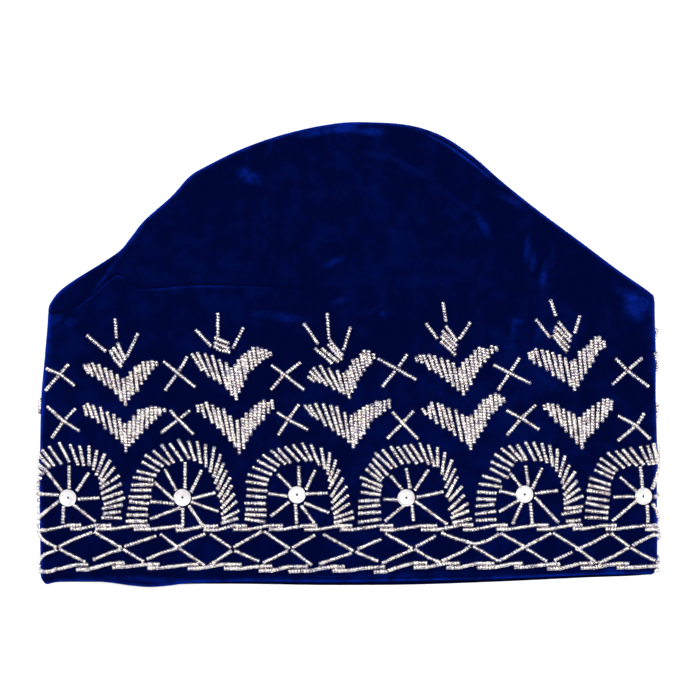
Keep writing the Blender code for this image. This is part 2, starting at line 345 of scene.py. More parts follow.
def height(x, y, rise):
    """How high the cloth's outer face is: rise is 1 on the front layer, -1 on the back, 0 at the fold."""
    away, _ = nearest(x, y, FOLDED_EDGE)
    inward = np.clip((away - FOLD_RADIUS) / SWELL_REACH, 0.0, 1.0)
    share = np.sin(inward * math.pi / 2.0)
    half = FOLD_RADIUS + (ease(SWELL, "y", "thickness", y) / 2.0 - FOLD_RADIUS) * share
    slack = waves(x, y, rise) * np.clip(share * SLACK_RISE, 0.0, 1.0)
    return ease(SWELL, "y", "lift", y) + (half + slack * 0.5) * (1.0 + rise)


def tuck_relief(x, y):
    away, side = nearest(x, y, TUCK_EDGE)
    roll = TUCK_RISE * smooth(away / TUCK_ROLL) * np.exp(-away / TUCK_FADE)
    return np.where(side > 0.0, roll, 0.0)


def crescent(x, y):
    """Where the back layer shows past the front: how far inside the front's edge, and how much it shows."""
    away, _ = nearest(x, y, CROWN_CURVE[::3])
    along = np.clip((x - CRESCENT_START) / (CRESCENT_END - CRESCENT_START), 0.0, 1.0)
    shown = np.where(y > CRESCENT_FOOT, np.sin(math.pi * along) ** CRESCENT_FULLNESS, 0.0)
    return away - CRESCENT_WIDTH * shown, shown


def crescent_relief(x, y):
    inside, shown = crescent(x, y)
    return -CRESCENT_DEPTH * shown * np.exp(-((inside / CRESCENT_CREASE) ** 2))


def layer_mix(table, x, rise):
    share = (1.0 + rise) / 2.0
    front, back = flow(table, "x", "front", x), flow(table, "x", "back", x)
    return back + (front - back) * share


def roll_centres(y):
    """Where the folded band's two rounded edges have their middles."""
    return flow(SIDES, "y", "left", y) + FOLD_RADIUS, flow(SIDES, "y", "right", y) - FOLD_RADIUS


def plan_x(y, share, reach):
    left, right = roll_centres(y)
    return left + (right - left) * share + reach * FOLD_RADIUS


def turn_angles(steps):
    """From the front layer, at a quarter turn, round an edge to the back layer."""
    return math.pi / 2.0 - math.pi * np.arange(1, steps) / steps


def band_stations():
    """Share across, reach past the roll's middle, and rise, at each column round the band."""
    there = [(share, 0.0, 1.0) for share in np.linspace(0.0, 1.0, FRONT_COLUMNS + 1)]
    right = [(1.0, math.cos(a), math.sin(a)) for a in turn_angles(FOLD_STEPS)]
    back = [(share, 0.0, -1.0) for share in np.linspace(1.0, 0.0, BACK_COLUMNS + 1)]
    left = [(0.0, -math.cos(a), math.sin(a)) for a in turn_angles(FOLD_STEPS)[::-1]]
    loop = there + right + back + left
    return np.array(loop + loop[:1])


def band_section():
    """Way up from the hem, distance past the end of the wall, and depth, at each row of the band's wall."""
    half = WALL / 2.0
    spread = np.linspace(0.0, 1.0, BAND_ROWS + 1)
    outer = [(1.0 - s + ROWS_TO_ENDS * math.sin(2.0 * math.pi * s), 0.0, 0.0) for s in spread]
    rolls = np.pi * np.arange(1, ROLL_STEPS) / ROLL_STEPS
    hem = [(0.0, -half * math.sin(a), half - half * math.cos(a)) for a in rolls]
    inner = [(s, 0.0, WALL) for s in np.linspace(0.0, 1.0, INNER_ROWS + 1)]
    lip = [(1.0, half * math.sin(a), half + half * math.cos(a)) for a in rolls]
    loop = outer + hem + inner + lip
    return np.array(loop + loop[:1])


def band_places(columns, rows):
    share, reach, rise = band_stations()[columns].T
    way_up, past, depth = band_section()[rows].T
    seam_x = plan_x(SEAM[0].front, share, reach)
    seam = layer_mix(SEAM, seam_x, rise)
    hem = layer_mix(HEM, plan_x(HEM[0].front, share, reach), rise)
    half = WALL / 2.0
    y = hem + half + (seam - hem - WALL) * way_up + past
    x = plan_x(y, share, reach)
    lip = flow(SEAM, "x", "lip", seam_x) * np.maximum(rise, 0.0)
    z = height(x, y, rise) + lip * smooth(1.0 - (seam - y) / LIP_DEPTH)
    return np.stack([x - reach * depth, y, z - rise * depth], axis=1)


def crown_section():
    """Distance from the seam, share of the rest, fold angle and depth, for each row round the crown."""
    up, near = math.pi / 2.0, NEAR_SEAM[-1]
    spread = np.linspace(0.0, 1.0, CROWN_FRONT_ROWS + 1)[1:]
    front = [(base, 0.0, up, 0.0) for base in NEAR_SEAM]
    front += [(near, 1.0 - (1.0 - s) ** ROWS_TO_FOLD, up, 0.0) for s in spread]
    fold = [(near, 1.0, a, 0.0) for a in turn_angles(CROWN_FOLD_STEPS)]
    back = [(near, s, -up, 0.0) for s in np.linspace(1.0, 0.0, CROWN_BACK_ROWS)]
    back += [(base, 0.0, -up, 0.0) for base in NEAR_SEAM[:-1][::-1]]
    inner = [(near, s, -up, WALL) for s in np.linspace(-INNER_OVERLAP, 1.0, INNER_ROWS)]
    inner += [(near, 1.0, -a, WALL) for a in turn_angles(FOLD_STEPS)]
    inner += [(near, s, up, WALL) for s in np.linspace(1.0, -INNER_OVERLAP, INNER_ROWS)]
    loop = front + fold + back + inner
    return np.array(loop + loop[:1])


def along_outline(share):
    steps = np.hypot(*np.diff(CROWN_CURVE, axis=0).T)
    reached = np.concatenate([[0.0], np.cumsum(steps)])
    place = share * reached[-1]
    return np.interp(place, reached, CROWN_CURVE[:, 0]), np.interp(place, reached, CROWN_CURVE[:, 1])


def crown_places(columns, rows):
    share = columns / CROWN_COLUMNS
    base, rest, angle, depth = crown_section()[rows].T
    reach, rise = np.cos(angle), np.sin(angle)
    edge_x, edge_y = along_outline(share)
    seam_x = plan_x(SEAM[0].front, share, 0.0)
    seam_y = layer_mix(SEAM, seam_x, rise)
    run_x, run_y = edge_x - seam_x, edge_y - seam_y
    run = np.hypot(run_x, run_y)
    roll = np.minimum(run, FOLD_RADIUS)
    free = run - roll
    scale = np.minimum(free / SEAM_ROOM, 1.0)
    travel = base * scale + rest * (free - NEAR_SEAM[-1] * scale) + roll * reach
    x = seam_x + run_x * travel / run
    y = seam_y + run_y * travel / run
    is_front = np.maximum(rise, 0.0)
    z = height(x, y, rise) + (tuck_relief(x, y) + crescent_relief(x, y)) * is_front
    groove, shine = flow(SEAM, "x", "groove", seam_x), flow(SEAM, "x", "shine", seam_x)
    is_shown = np.clip(shine * SETBACK_CHANGE, 0.0, 1.0)
    setback = PLAIN_SETBACK - (PLAIN_SETBACK - SEAM_SETBACK) * is_shown
    dive = (WALL / 2.0 + groove) * np.exp(-(((travel + setback) / DIVE_WIDTH) ** 2))
    z -= dive * np.sign(rise)
    out_x, out_y = run_x / run * reach, run_y / run * reach
    return np.stack([x - out_x * depth, y - out_y * depth, z - rise * depth], axis=1)


def keep(name, bm):
    """A bmesh as an object of its own, shaded smooth."""
    mesh = bpy.data.meshes.new(name)
    bm.to_mesh(mesh)
    bm.free()
    mesh.shade_smooth()
    obj = bpy.data.objects.new(name, mesh)
    bpy.context.scene.collection.objects.link(obj)
    return obj


def cloth(name, columns, rows, places, sheen_and_shade):
    """A flat grid of columns and rows, each of its points put in its place on the folded cloth.

    Each point also keeps its painted sheen of the pile, and how deep it lies in painted shade.
    """
    bm = bmesh.new()
    bmesh.ops.create_grid(bm, x_segments=columns, y_segments=rows, size=1.0)
    nap_and_sheen_layer, shade_layer = bm.verts.layers.float.new("nap"), bm.verts.layers.float.new("shade")
    flat = np.array([vert.co[:2] for vert in bm.verts])
    grid = np.rint((flat + 1.0) / 2.0 * (columns, rows)).astype(int)
    spots = places(*grid.T)
    nap_and_sheen_values, shades = sheen_and_shade(spots, *grid.T)
    for vert, spot, nap, shade in zip(bm.verts, spots * MM, nap_and_sheen_values, shades):
        vert.co = spot
        vert[nap_and_sheen_layer] = nap
        vert[shade_layer] = shade
    bmesh.ops.remove_doubles(bm, verts=bm.verts, dist=WELD * MM)
    bmesh.ops.holes_fill(bm, edges=[edge for edge in bm.edges if edge.is_boundary])
    bmesh.ops.recalc_face_normals(bm, faces=bm.faces)
    return keep(name, bm)


# Places where the pile lies another way, painted lighter as a sheen of the pile catching the light, in
# pixels of the photo
Nap = namedtuple("Nap", "x y length width turn strength")
NAPS = [
    Nap(316, 132, 34, 8, 10, 0.8),
    Nap(342, 128, 30, 9, 5, 0.9),
    Nap(370, 131, 30, 9, -3, 0.8),
    Nap(251, 177, 26, 13, -20, 0.6),
    Nap(243, 171, 14, 8, 20, 0.4),
    Nap(270, 145, 30, 6, 70, 0.25),
    Nap(380, 156, 40, 6, -12, 0.15),
    Nap(408, 167, 40, 6, -30, 0.2),
    Nap(455, 200, 60, 6, -38, 0.12),
    Nap(483, 225, 34, 8, -60, 0.35),
    Nap(527, 248, 26, 6, 85, 0.6),
    Nap(544, 274, 26, 7, 78, 0.7),
    Nap(533, 262, 20, 6, 85, 0.4),
    Nap(552, 262, 34, 5, 85, 0.25),
    Nap(338, 260, 20, 6, 20, 0.35),
    Nap(330, 264, 16, 5, 25, 0.3),
    Nap(507, 198, 26, 8, -25, 0.4),
    Nap(520, 206, 20, 6, -35, 0.3),
    Nap(288, 318, 36, 9, -12, 0.55),
    Nap(262, 314, 20, 6, 0, 0.3),
    Nap(340, 300, 20, 5, 10, 0.25),
    Nap(382, 314, 6, 6, 0, 0.5),
    Nap(375, 310, 16, 4, 30, 0.3),
    Nap(513, 333, 32, 6, 82, 0.45),
    Nap(520, 322, 10, 6, 0, 0.4),
    Nap(506, 345, 16, 5, 80, 0.3),
    Nap(537, 335, 30, 5, 70, 0.3),
    Nap(553, 330, 26, 5, 75, 0.3),
    Nap(638, 306, 28, 26, 0, 0.9),
    Nap(630, 296, 30, 10, -25, 0.5),
    Nap(650, 300, 12, 26, 0, 0.6),
    Nap(652, 350, 60, 8, 90, 0.3),
    Nap(56, 318, 24, 9, 40, 0.4),
    Nap(70, 322, 16, 8, 30, 0.35),
    Nap(48, 345, 60, 8, 88, 0.3),
    Nap(135, 370, 36, 4, 34, 0.25),
    Nap(442, 394, 48, 4, -31, 0.25),
    Nap(552, 385, 44, 4, -34, 0.25),
    Nap(128, 578, 80, 5, 0, 0.3),
    Nap(175, 581, 70, 6, -2, 0.5),
    Nap(300, 577, 200, 4, 1, 0.25),
    Nap(450, 574, 150, 5, 1, 0.25),
    Nap(620, 570, 36, 7, 3, 0.5),
    Nap(649, 548, 14, 26, 0, 0.5),
]
NAP_REACH = 1.5
NAP_FADE = 1.2
MIRRORED_STRENGTH = 0.7


def nap_sheen_at(x, y):
    """The painted sheen of the front layer's pile where it lies another way and catches the light."""
    total = np.zeros(np.shape(x))
    for nap in NAPS:
        middle_x, middle_y = pattern_place((nap.x, nap.y))
        turn = math.radians(nap.turn)
        along = (x - middle_x) * math.cos(turn) + (y - middle_y) * math.sin(turn)
        across = (y - middle_y) * math.cos(turn) - (x - middle_x) * math.sin(turn)
        away = np.hypot(along / (nap.length * PIXEL / 2.0), across / (nap.width * PIXEL / 2.0))
        total += nap.strength * smooth((NAP_REACH - away) / NAP_FADE)
    return total


def both_layers(x, y, rise):
    """The front's painted sheen patches, and the same patches mirrored and weaker on the back layer."""
    return np.where(rise > 0.0, nap_sheen_at(x, y), MIRRORED_STRENGTH * nap_sheen_at(-x, y))


def fold_shine(x, y):
    """A painted highlight along the folds of the flat cap, standing for the sheen of the pile crushed there,
    bright from every side.
    """
    away, _ = nearest(x, y, FOLDED_EDGE)
    return FOLD_SHINE * np.exp(-((away / FOLD_LINE) ** 2))


def seam_shadow(x, away):
    """Painted shadow: a dark line along the seam where its groove is deep."""
    depth = np.clip(flow(SEAM, "x", "groove", x) * GROOVE_SHADE, 0.0, 1.0)
    return depth * np.exp(-((away / SEAM_SHADE) ** 2))


def band_sheen_and_shade(spots, columns, rows):
    x, y, _ = spots.T
    _, _, rise = band_stations()[columns].T
    _, _, depth = band_section()[rows].T
    shine = flow(SEAM, "x", "shine", x) * np.maximum(rise, 0.0)
    to_seam = layer_mix(SEAM, x, rise) - y
    to_hem = y - layer_mix(HEM, x, rise)
    is_inside = depth > WALL / 2.0
    nap = both_layers(x, y, rise) + fold_shine(x, y)
    # A painted highlight along the band's lip below the seam, and another along the front layer's hem fold
    nap += LIP_SHINE * shine * np.exp(-((to_seam / LIP_LINE) ** 2))
    nap += HEM_SHINE * np.maximum(rise, 0.0) * np.exp(-((to_hem / HEM_LINE) ** 2))
    # Painted shade on the back layer's hem where it shows below the front layer, and painted shadow along
    # the seam's groove
    hem_shade = np.where(rise < 0.0, smooth(1.0 - (to_hem - HEM_TURN) / HEM_SHADE), 0.0)
    seam_shade = (1.0 - np.clip(shine, 0.0, 1.0)) * seam_shadow(x, to_seam)
    # The inner faces get no sheen and full painted shade
    return np.where(is_inside, 0.0, nap), np.where(is_inside, 1.0, np.maximum(hem_shade, seam_shade))


def crown_sheen_and_shade(spots, columns, rows):
    x, y, _ = spots.T
    _, _, angle, depth = crown_section()[rows].T
    rise = np.sin(angle)
    is_front = np.maximum(rise, 0.0)
    away, side = nearest(x, y, TUCK_EDGE)
    # Painted shade on the flap tucked under the rolled edge
    flap_shade_mask = np.where(side > 0.0, 0.0, smooth(1.0 - away / FLAP_SHADE)) * FLAP_DARKNESS
    # A painted highlight along the rolled edge
    roll_highlight_line = np.exp(-(((away - TUCK_ROLL) / ROLL_LINE) ** 2)) * ROLL_SHINE
    roll_highlight = np.where(side > 0.0, roll_highlight_line, 0.0)
    above = y - layer_mix(SEAM, x, rise)
    inside, shown = crescent(x, y)
    # A painted highlight along the front layer's edge, and painted shade in the crease where the back layer
    # shows past it
    front_edge_highlight = CRESCENT_SHINE * shown * np.exp(-(((inside - 2.0 * CRESCENT_CREASE) / LIP_LINE) ** 2))
    crease_shade = shown * np.exp(-((inside / CRESCENT_CREASE) ** 2))
    is_inside = depth > 0.0
    nap = both_layers(x, y, rise) + fold_shine(x, y) + (roll_highlight + front_edge_highlight) * is_front
    shade = np.clip((flap_shade_mask + crease_shade) * is_front + seam_shadow(x, above), 0.0, 1.0)
    # The inner faces get no sheen and full painted shade
    return np.where(is_inside, 0.0, nap), np.where(is_inside, 1.0, shade)


# The embroidery. Every row below is in pixels of the photo, on the flat pattern of the side band.
BEAD_RADIUS = 1.0
BEAD_LENGTH = 1.4
BEAD_PITCH = 1.37
BEAD_SHOULDER = 0.68
BEAD_BARREL = 0.6
BEAD_HOLE = 0.42
HOLE_DEPTH = 0.7
BEAD_SINK = 0.3
BEAD_SIDES = 8
BEAD_UNEVEN = 0.05
BEAD_TILT = 0.05
BEAD_SIZES = 0.035
END_TIP = 0.45
HAND_DRIFT = 0.35
THREAD_LIFT = 0.6
RAY_START = 9.0
FOLD_TURN = math.pi * (FOLD_RADIUS + THREAD_LIFT)

# Eleven repeats run round the loop. The back takes up the front's own motifs again, closer together
LOOP_PIXELS = 1246.0
BACK_ARCHES = (766.0, 875.6, 985.2, 1094.8, 1204.4)
BACK_UPPER_TIPS = (700.5, 820.6, 930.2, 1039.7, 1149.3, 1240.0)
BACK_LOWER_TIPS = (701.5, 821.0, 930.0, 1040.0, 1149.0, 1256.5)
BACK_CROSSES = (754.0, 875.6, 985.2, 1094.8, 1201.0)

# Ribs of each arch, from its left foot to its right one: outer x, outer y, inner x, inner y
ARCHES = [
    [
        (11, 519, 33, 518.5), (11, 513, 33, 512.5), (11.5, 506.5, 33.5, 506.5), (12, 500, 34, 500),
        (12.5, 493.5, 34.5, 494), (14, 487, 36, 488), (16.5, 480, 38, 483), (20, 473, 41, 478.5),
        (25, 466, 44, 474), (31, 459.5, 47, 470.5), (37, 453, 50.5, 467.5), (42.5, 449.5, 55.5, 466.5),
        (49.3, 446, 62.3, 464.5), (59.5, 442, 70, 462.5), (70.3, 443.5, 79, 465.5),
        (80, 445, 84.3, 466.3), (89.5, 445, 89.5, 465.5), (97.5, 449.3, 93.6, 470.5),
        (105.5, 453, 96.5, 475.5), (111, 459.5, 99.5, 479.5), (115.5, 467, 100, 484.5),
        (120.5, 475, 100.3, 488.7), (122.3, 483.3, 101, 494), (123.5, 491.5, 102.5, 499),
        (126, 497.5, 104, 504.2), (123, 504.5, 102, 508.5), (122, 511.3, 103.5, 513.5),
        (122.8, 518, 101.5, 517.2),
    ],
    [
        (126, 520.7, 148, 520.7), (127, 514.7, 148.5, 514.7), (128, 508, 148.5, 508.7),
        (129.5, 501.3, 150, 503.5), (128.5, 496.5, 152.5, 496.7), (130.5, 490, 152, 490),
        (131.3, 484.7, 154, 484.3), (133, 477, 154, 480), (137, 470.5, 157, 475.5),
        (142, 461.3, 160.5, 471.3), (145, 454.5, 164, 466.5), (153, 450, 170.5, 465),
        (161.5, 444, 174.5, 463.3), (169.7, 442.7, 183, 461), (178.5, 439, 189.7, 458.7),
        (188.7, 440, 195.5, 461), (197.5, 440.5, 201, 463.5), (205.7, 444, 206.3, 467.5),
        (214.5, 446.5, 210.3, 472.7), (221, 453.5, 213.7, 477), (224.3, 462.5, 215, 484),
        (227, 469.7, 217.5, 489.7), (230.7, 477, 218.7, 497), (232.7, 484.5, 221, 502.3),
        (235, 493, 221, 508.3), (237.5, 500.5, 221.3, 514.3), (240, 510, 222, 519),
        (238.7, 518, 221, 523),
    ],
    [
        (244.5, 518.5, 266, 521.5), (244.5, 514, 267, 515), (245.5, 509, 267.3, 509.7),
        (244, 502.7, 265.8, 503.3), (246, 495.5, 267, 497), (246.7, 489, 267.2, 490.7),
        (245.5, 481, 267.5, 484.5), (247.5, 474, 269.5, 480), (252.3, 466.5, 272.3, 474.5),
        (257, 460, 276.5, 470.5), (262.5, 454.5, 279.7, 466), (270.7, 449.5, 286, 464.5),
        (277.3, 447.5, 291, 463), (285.5, 446.5, 299.5, 461.5), (292.7, 444, 307, 461),
        (301.7, 442, 312, 461), (310.7, 444, 319.7, 466), (321.3, 447, 325, 469),
        (330, 451.5, 327.5, 475), (336.5, 459, 328.7, 481.5), (339.5, 469, 329, 489),
        (343.7, 477, 330.5, 497), (347, 485.7, 331.5, 503), (349, 494.5, 331.7, 509),
        (350.5, 502.5, 333, 514), (353.5, 511, 333.3, 518), (354.5, 517, 333.5, 522.5),
    ],
    [
        (358, 522, 381.5, 518.7), (358, 513, 381.5, 511.7), (358, 507.3, 380.7, 504.7),
        (358, 500.7, 379.7, 500), (360, 491.7, 381.3, 494.7), (361.7, 483.7, 381.7, 490.5),
        (359.5, 476.5, 382.3, 486), (365.5, 468.5, 381.7, 481.3), (369, 463, 383.7, 478.5),
        (372.5, 458, 388, 475), (374.7, 452.5, 392, 468.5), (382.3, 449, 396.7, 467.5),
        (390, 445.5, 403, 464.5), (397, 446, 409.3, 463.3), (404, 445, 417, 464),
        (410, 443.5, 422.7, 462), (419, 442, 428.5, 464.3), (428, 444, 434, 467),
        (437.3, 446.5, 437.5, 467), (445, 451.5, 441.5, 475), (452, 459.3, 444, 480.3),
        (455.5, 468, 444.7, 488), (457.7, 476, 446, 497.5), (462.3, 485.5, 448.7, 500.7),
        (464.5, 494.5, 448, 510), (468.3, 502.5, 451.3, 514), (469.5, 510, 450, 518),
        (472, 518, 452, 522.5),
    ],
    [
        (475, 520, 496.5, 519), (474.5, 513.7, 496, 511), (475, 506, 494.5, 504.3),
        (476.5, 498.7, 496.5, 499.3), (476.3, 491.5, 497, 493), (478, 483.5, 502.5, 486.7),
        (481.5, 475, 501.5, 481.5), (489.5, 467.7, 508, 477.7), (490.5, 461.3, 510, 470.5),
        (494, 453.5, 513.5, 466), (500.5, 447.5, 516.7, 461.3), (508.3, 445, 522.7, 461.3),
        (516.7, 444, 526.5, 460.7), (524.7, 441.3, 535, 461), (533, 441.5, 541.5, 461.3),
        (541.3, 442.5, 546.7, 463.5), (549, 444.5, 552.5, 466.7), (557, 448, 556, 472),
        (564.7, 455, 558.7, 477.5), (569, 464.5, 561, 483.5), (575, 471, 562, 489),
        (577, 480.3, 563, 495.5), (579.5, 488.3, 563, 500), (583, 495.5, 563, 504),
        (583, 506, 563, 508.3), (581.5, 510.5, 560.5, 514), (580.7, 519.5, 565, 521),
    ],
    [
        (583.7, 517, 608, 518), (584.5, 510, 608, 512.5), (584.7, 502.5, 609, 507.5),
        (586, 497.5, 609, 500.7), (586, 490, 610, 494), (587, 484.5, 609.7, 490),
        (588.5, 477.5, 610.5, 485), (593.7, 469.5, 613, 478.5), (596.3, 463.7, 614.5, 474),
        (600, 458, 617.5, 470.7), (606.7, 452, 624, 468.5), (615, 450.5, 630, 466),
        (622, 449, 637, 466.5), (629, 447, 643.7, 465.3), (639.7, 446, 649.5, 465.5),
        (647, 445, 653.5, 465), (653, 442.7, 658, 464.5), (662.5, 445, 662.5, 466),
        (671, 449, 667, 471), (678, 455, 671, 476), (684, 462, 673.5, 482), (688, 469.5, 676, 488.5),
        (691, 477, 677.5, 495), (693.5, 484.5, 678.5, 501.5), (696, 492.5, 679.5, 507.5),
        (698, 500.5, 680, 513), (700, 509.5, 680.5, 518), (699.5, 517, 679.5, 522.5),
    ],
]

# The middle of each sequin, the arches that no fold cuts, and the spokes: inner x, inner y, outer x, outer y
WHEEL_MIDDLES = (68.4, 182.6, 297.0, 406.3, 524.4, 645.2)
WHOLE = slice(1, 5)
WHEELS = [
    [
        (69.5, 488.5, 69.5, 465), (77, 491, 89.5, 472.5), (78, 499, 99.7, 497.7), (73.5, 504.5, 96, 521.5),
        (64, 505.5, 63.3, 524), (60, 500.5, 37, 519), (59.5, 495, 36, 493.3), (62.5, 491, 46.5, 470.5),
    ],
    [
        (185.2, 488.5, 185.5, 461.5), (191, 492.5, 202.3, 469.5), (192, 498.5, 216, 492.3),
        (191, 501.5, 218.7, 511), (189, 505, 203, 525.5), (183, 507, 183, 525.5),
        (180.5, 507.5, 150, 518.8), (175, 503.5, 150.5, 501.3), (174.3, 499.5, 154.5, 481.5),
        (176.8, 490.5, 165, 468.5),
    ],
    [
        (299.5, 486, 298.7, 465.5), (306, 489.5, 315.5, 469.5), (306, 493.5, 328, 492.7),
        (304, 502.5, 329, 512.5), (301, 505, 314.5, 523), (295.5, 503.5, 296.5, 523),
        (289.5, 501.5, 270.5, 516.3), (288, 496, 268, 493.3), (291.5, 488, 277.5, 473.5),
    ],
    [
        (410, 488.5, 406, 467.5), (414.5, 490.5, 428.5, 469), (416, 497, 443.5, 491.5),
        (414.5, 500.5, 447.3, 524), (411.7, 504.5, 413.5, 521), (404, 505, 384.5, 521),
        (398, 499.5, 383.5, 499), (402.5, 489.5, 390.5, 475.3),
    ],
    [
        (528, 485.5, 525.3, 465), (531.5, 489, 542, 467.3), (534, 493, 557.3, 490.3),
        (534, 496.5, 558.3, 522.5), (530, 502, 532, 523.5), (522, 502, 512.3, 523.5),
        (518.5, 500, 498.5, 511.7), (516, 494.5, 499.5, 490.5), (520.5, 486.5, 509.7, 472.3),
    ],
    [
        (642.3, 488.5, 639.8, 466), (651.5, 489.5, 656, 478, 662.5, 467), (653, 497, 664, 494.5),
        (652.3, 503.5, 656, 509, 662, 521), (647, 505, 647.3, 523), (636.5, 500.5, 611.3, 521.3),
        (637, 496.3, 612.3, 496.8), (637.5, 492.5, 619.3, 476.7),
    ],
]

# Strands of each chevron from left to right: top x, top y, foot x, foot y. Its middle is its lowest foot
UPPER_TIPS = (126.0, 237.0, 349.7, 463.7, 574.3)
UPPER_CHEVRONS = [
    [
        (84.3, 364.3, 89.3, 374), (88.3, 363.7, 93.8, 377), (92.5, 362, 100.3, 380.7),
        (99, 364, 106, 386), (105.5, 367.5, 111.5, 389), (111, 370, 117, 395),
        (117.5, 373.5, 122, 401.5), (123.5, 378, 126, 405.7), (128, 376, 129.7, 400.5),
        (131, 371, 133.5, 395), (135.5, 366.5, 138, 391.3), (139.3, 364, 142.3, 384.7),
        (143.5, 361, 146.3, 380), (148, 361, 149.7, 375), (152.3, 360, 153.5, 370),
        (156.5, 361.3, 157.5, 366),
    ],
    [
        (191.7, 353.3, 202.7, 371.3), (197.3, 352, 209.7, 377.5), (205, 353.3, 215.3, 380),
        (212.3, 355, 220.7, 384.5), (219.3, 359, 228, 390), (226.3, 362.3, 232.3, 396),
        (231, 367, 237, 400.5), (235.3, 364.7, 239.7, 393.3), (238.3, 359.3, 242.7, 387.5),
        (242, 355, 246.3, 380.3), (245.3, 353, 248.3, 373.3), (249, 350.3, 252.7, 370),
        (253, 347, 256.3, 366.7), (257.7, 346.5, 260, 364), (261.5, 348, 263.5, 360.5),
        (266, 349, 267.5, 358.5), (270, 351.5, 271.5, 356.5),
    ],
    [
        (308, 376.5, 315, 382), (309.7, 371, 321, 382.7), (313, 367, 327.5, 386.5),
        (319.7, 365, 334.5, 390), (328.5, 367.5, 340.5, 392.5), (337, 369.5, 344.5, 394.7),
        (343.5, 372, 349.7, 398.5), (347, 369.5, 352.7, 393), (349.7, 365, 355.7, 388.5),
        (352.5, 359.7, 358.3, 381), (356.5, 358, 361.3, 376.5), (360.5, 353, 364.3, 371.5),
        (363.7, 349.5, 367.3, 367), (368.3, 350, 370.7, 364.5), (373.3, 353, 374.5, 359.7),
    ],
    [
        (415.7, 356.7, 417.3, 362), (419.3, 354.5, 422.3, 364), (423, 354.3, 430, 370.3),
        (428.5, 354, 436.3, 373.7), (434, 355, 442, 378), (440.7, 357, 448, 382.3),
        (447.3, 359.5, 453.3, 387), (453, 362, 458.5, 391), (459, 367, 463.7, 395.5),
        (462.3, 361.5, 467.3, 391), (466.3, 358, 471, 385.5), (470.5, 355, 474, 378.5),
        (474.5, 349.7, 477, 372.7), (479, 346.5, 480.5, 367.5), (482.7, 347.5, 485, 363),
        (487, 348.5, 488, 358.5), (491.3, 345, 492, 354.5), (495.5, 346.3, 496.7, 351),
    ],
    [
        (528, 352, 530.5, 360), (532, 350.5, 534, 364), (535, 347.7, 540.3, 366.7),
        (541.3, 349, 547, 371), (546.5, 350.3, 553.3, 376.5), (552.3, 351.7, 559, 379.3),
        (558.7, 354.3, 563.3, 382), (564.5, 357, 570, 386), (570.7, 361, 574.3, 391.3),
        (574, 358.5, 577.7, 386.7), (578.7, 350.7, 581.3, 380), (583, 348, 585.5, 374),
        (587, 345, 589.5, 367.7), (590.5, 340, 592.5, 362.5), (595, 336.3, 596, 355.5),
        (599, 336.3, 600, 350.3), (603, 340.5, 604.3, 348),
    ],
]
LOWER_TIPS = (126.5, 239.5, 353.3, 470.7, 581.7)
LOWER_CHEVRONS = [
    [
        (84, 404.5, 87.5, 416.5), (87.7, 402.7, 93.3, 418.5), (93.3, 404.5, 99.5, 423.5),
        (100.5, 406, 106, 429.5), (107.5, 411, 112.5, 434), (114, 413.5, 117.7, 439.3),
        (119.5, 418, 123, 443.5), (124.7, 422.5, 126.5, 452.5), (130, 420, 129.5, 447),
        (134.5, 415, 133.3, 443), (139.3, 409, 137.7, 439), (143.3, 408.3, 142, 434),
        (147.7, 407, 147.3, 429), (152, 405.7, 152, 424), (156, 406, 156, 420),
        (160, 407.5, 160.3, 415.5), (164.5, 408, 165.5, 412.5),
    ],
    [
        (197.5, 404.3, 198.7, 412.5), (201.5, 403.5, 205.3, 418.5), (206, 401.3, 213, 423.7),
        (212.5, 404, 218.7, 428.7), (217.7, 407, 224.3, 435.7), (223.7, 407.7, 230.3, 441.5),
        (230, 415, 235.5, 447.5), (237.3, 419.3, 239.5, 453.7), (242.5, 417.5, 244, 449.3),
        (246.3, 412, 247.3, 442), (251.3, 408.7, 250.7, 436), (255.7, 404.7, 254.7, 429.3),
        (260, 402, 259, 425), (264, 399.3, 263.7, 420.7), (268.3, 401.5, 268.7, 414),
        (271.7, 399, 273.3, 409.5),
    ],
    [
        (304, 404.5, 313.5, 416.5), (309, 404, 318.3, 420), (315.3, 402.5, 326, 426.5),
        (323, 403, 333.3, 431.3), (330.5, 404.7, 339.3, 435.5), (336.5, 406, 344.3, 438),
        (344.5, 411.5, 349, 443), (351, 414.5, 353.3, 448.5), (355.3, 412.5, 356.5, 444),
        (359.3, 409.3, 360.7, 439.3), (363.3, 406.5, 364, 434.5), (367.3, 404.3, 368.3, 428.7),
        (372, 403.7, 371.5, 421.5), (376.5, 401, 376.3, 418), (380.3, 400.7, 380, 415),
        (384.7, 399.7, 384.3, 412), (389, 399, 389.3, 408.5),
    ],
    [
        (421.5, 407.5, 426.3, 415), (428.5, 405.5, 430.5, 419.5), (431, 401.5, 437, 424.3),
        (437.3, 402, 443.5, 428.5), (441.7, 404, 450, 431), (448, 407, 455, 436),
        (455.3, 409, 462, 442), (461.7, 413.7, 468, 445), (467, 416, 470.7, 450),
        (471, 414, 474.3, 443.7), (475.3, 409.3, 478, 438), (479.3, 404, 481.5, 432),
        (483, 398.5, 485, 426.5), (487, 398, 488.7, 419.3), (490, 394.5, 492.7, 413.5),
        (495, 392.5, 496.3, 411), (499, 394.5, 500.3, 406), (503, 396.5, 504.5, 403),
    ],
    [
        (542.7, 404, 545, 410.7), (547, 402.7, 550.5, 416.7), (552, 403, 555.7, 422.7),
        (557, 404.5, 561.7, 427), (562.7, 408, 565.7, 432.3), (568, 411, 571.3, 437.5),
        (573, 413, 576.5, 444), (578.7, 416.7, 581.7, 448.5), (583.5, 412, 584, 442.5),
        (587.7, 409, 588, 437), (592.3, 405, 592, 434), (598, 401.7, 596.7, 429),
        (603, 398.3, 601.7, 422.7), (607.3, 397.5, 605.7, 418), (611.3, 400, 610.3, 410.5),
    ],
]

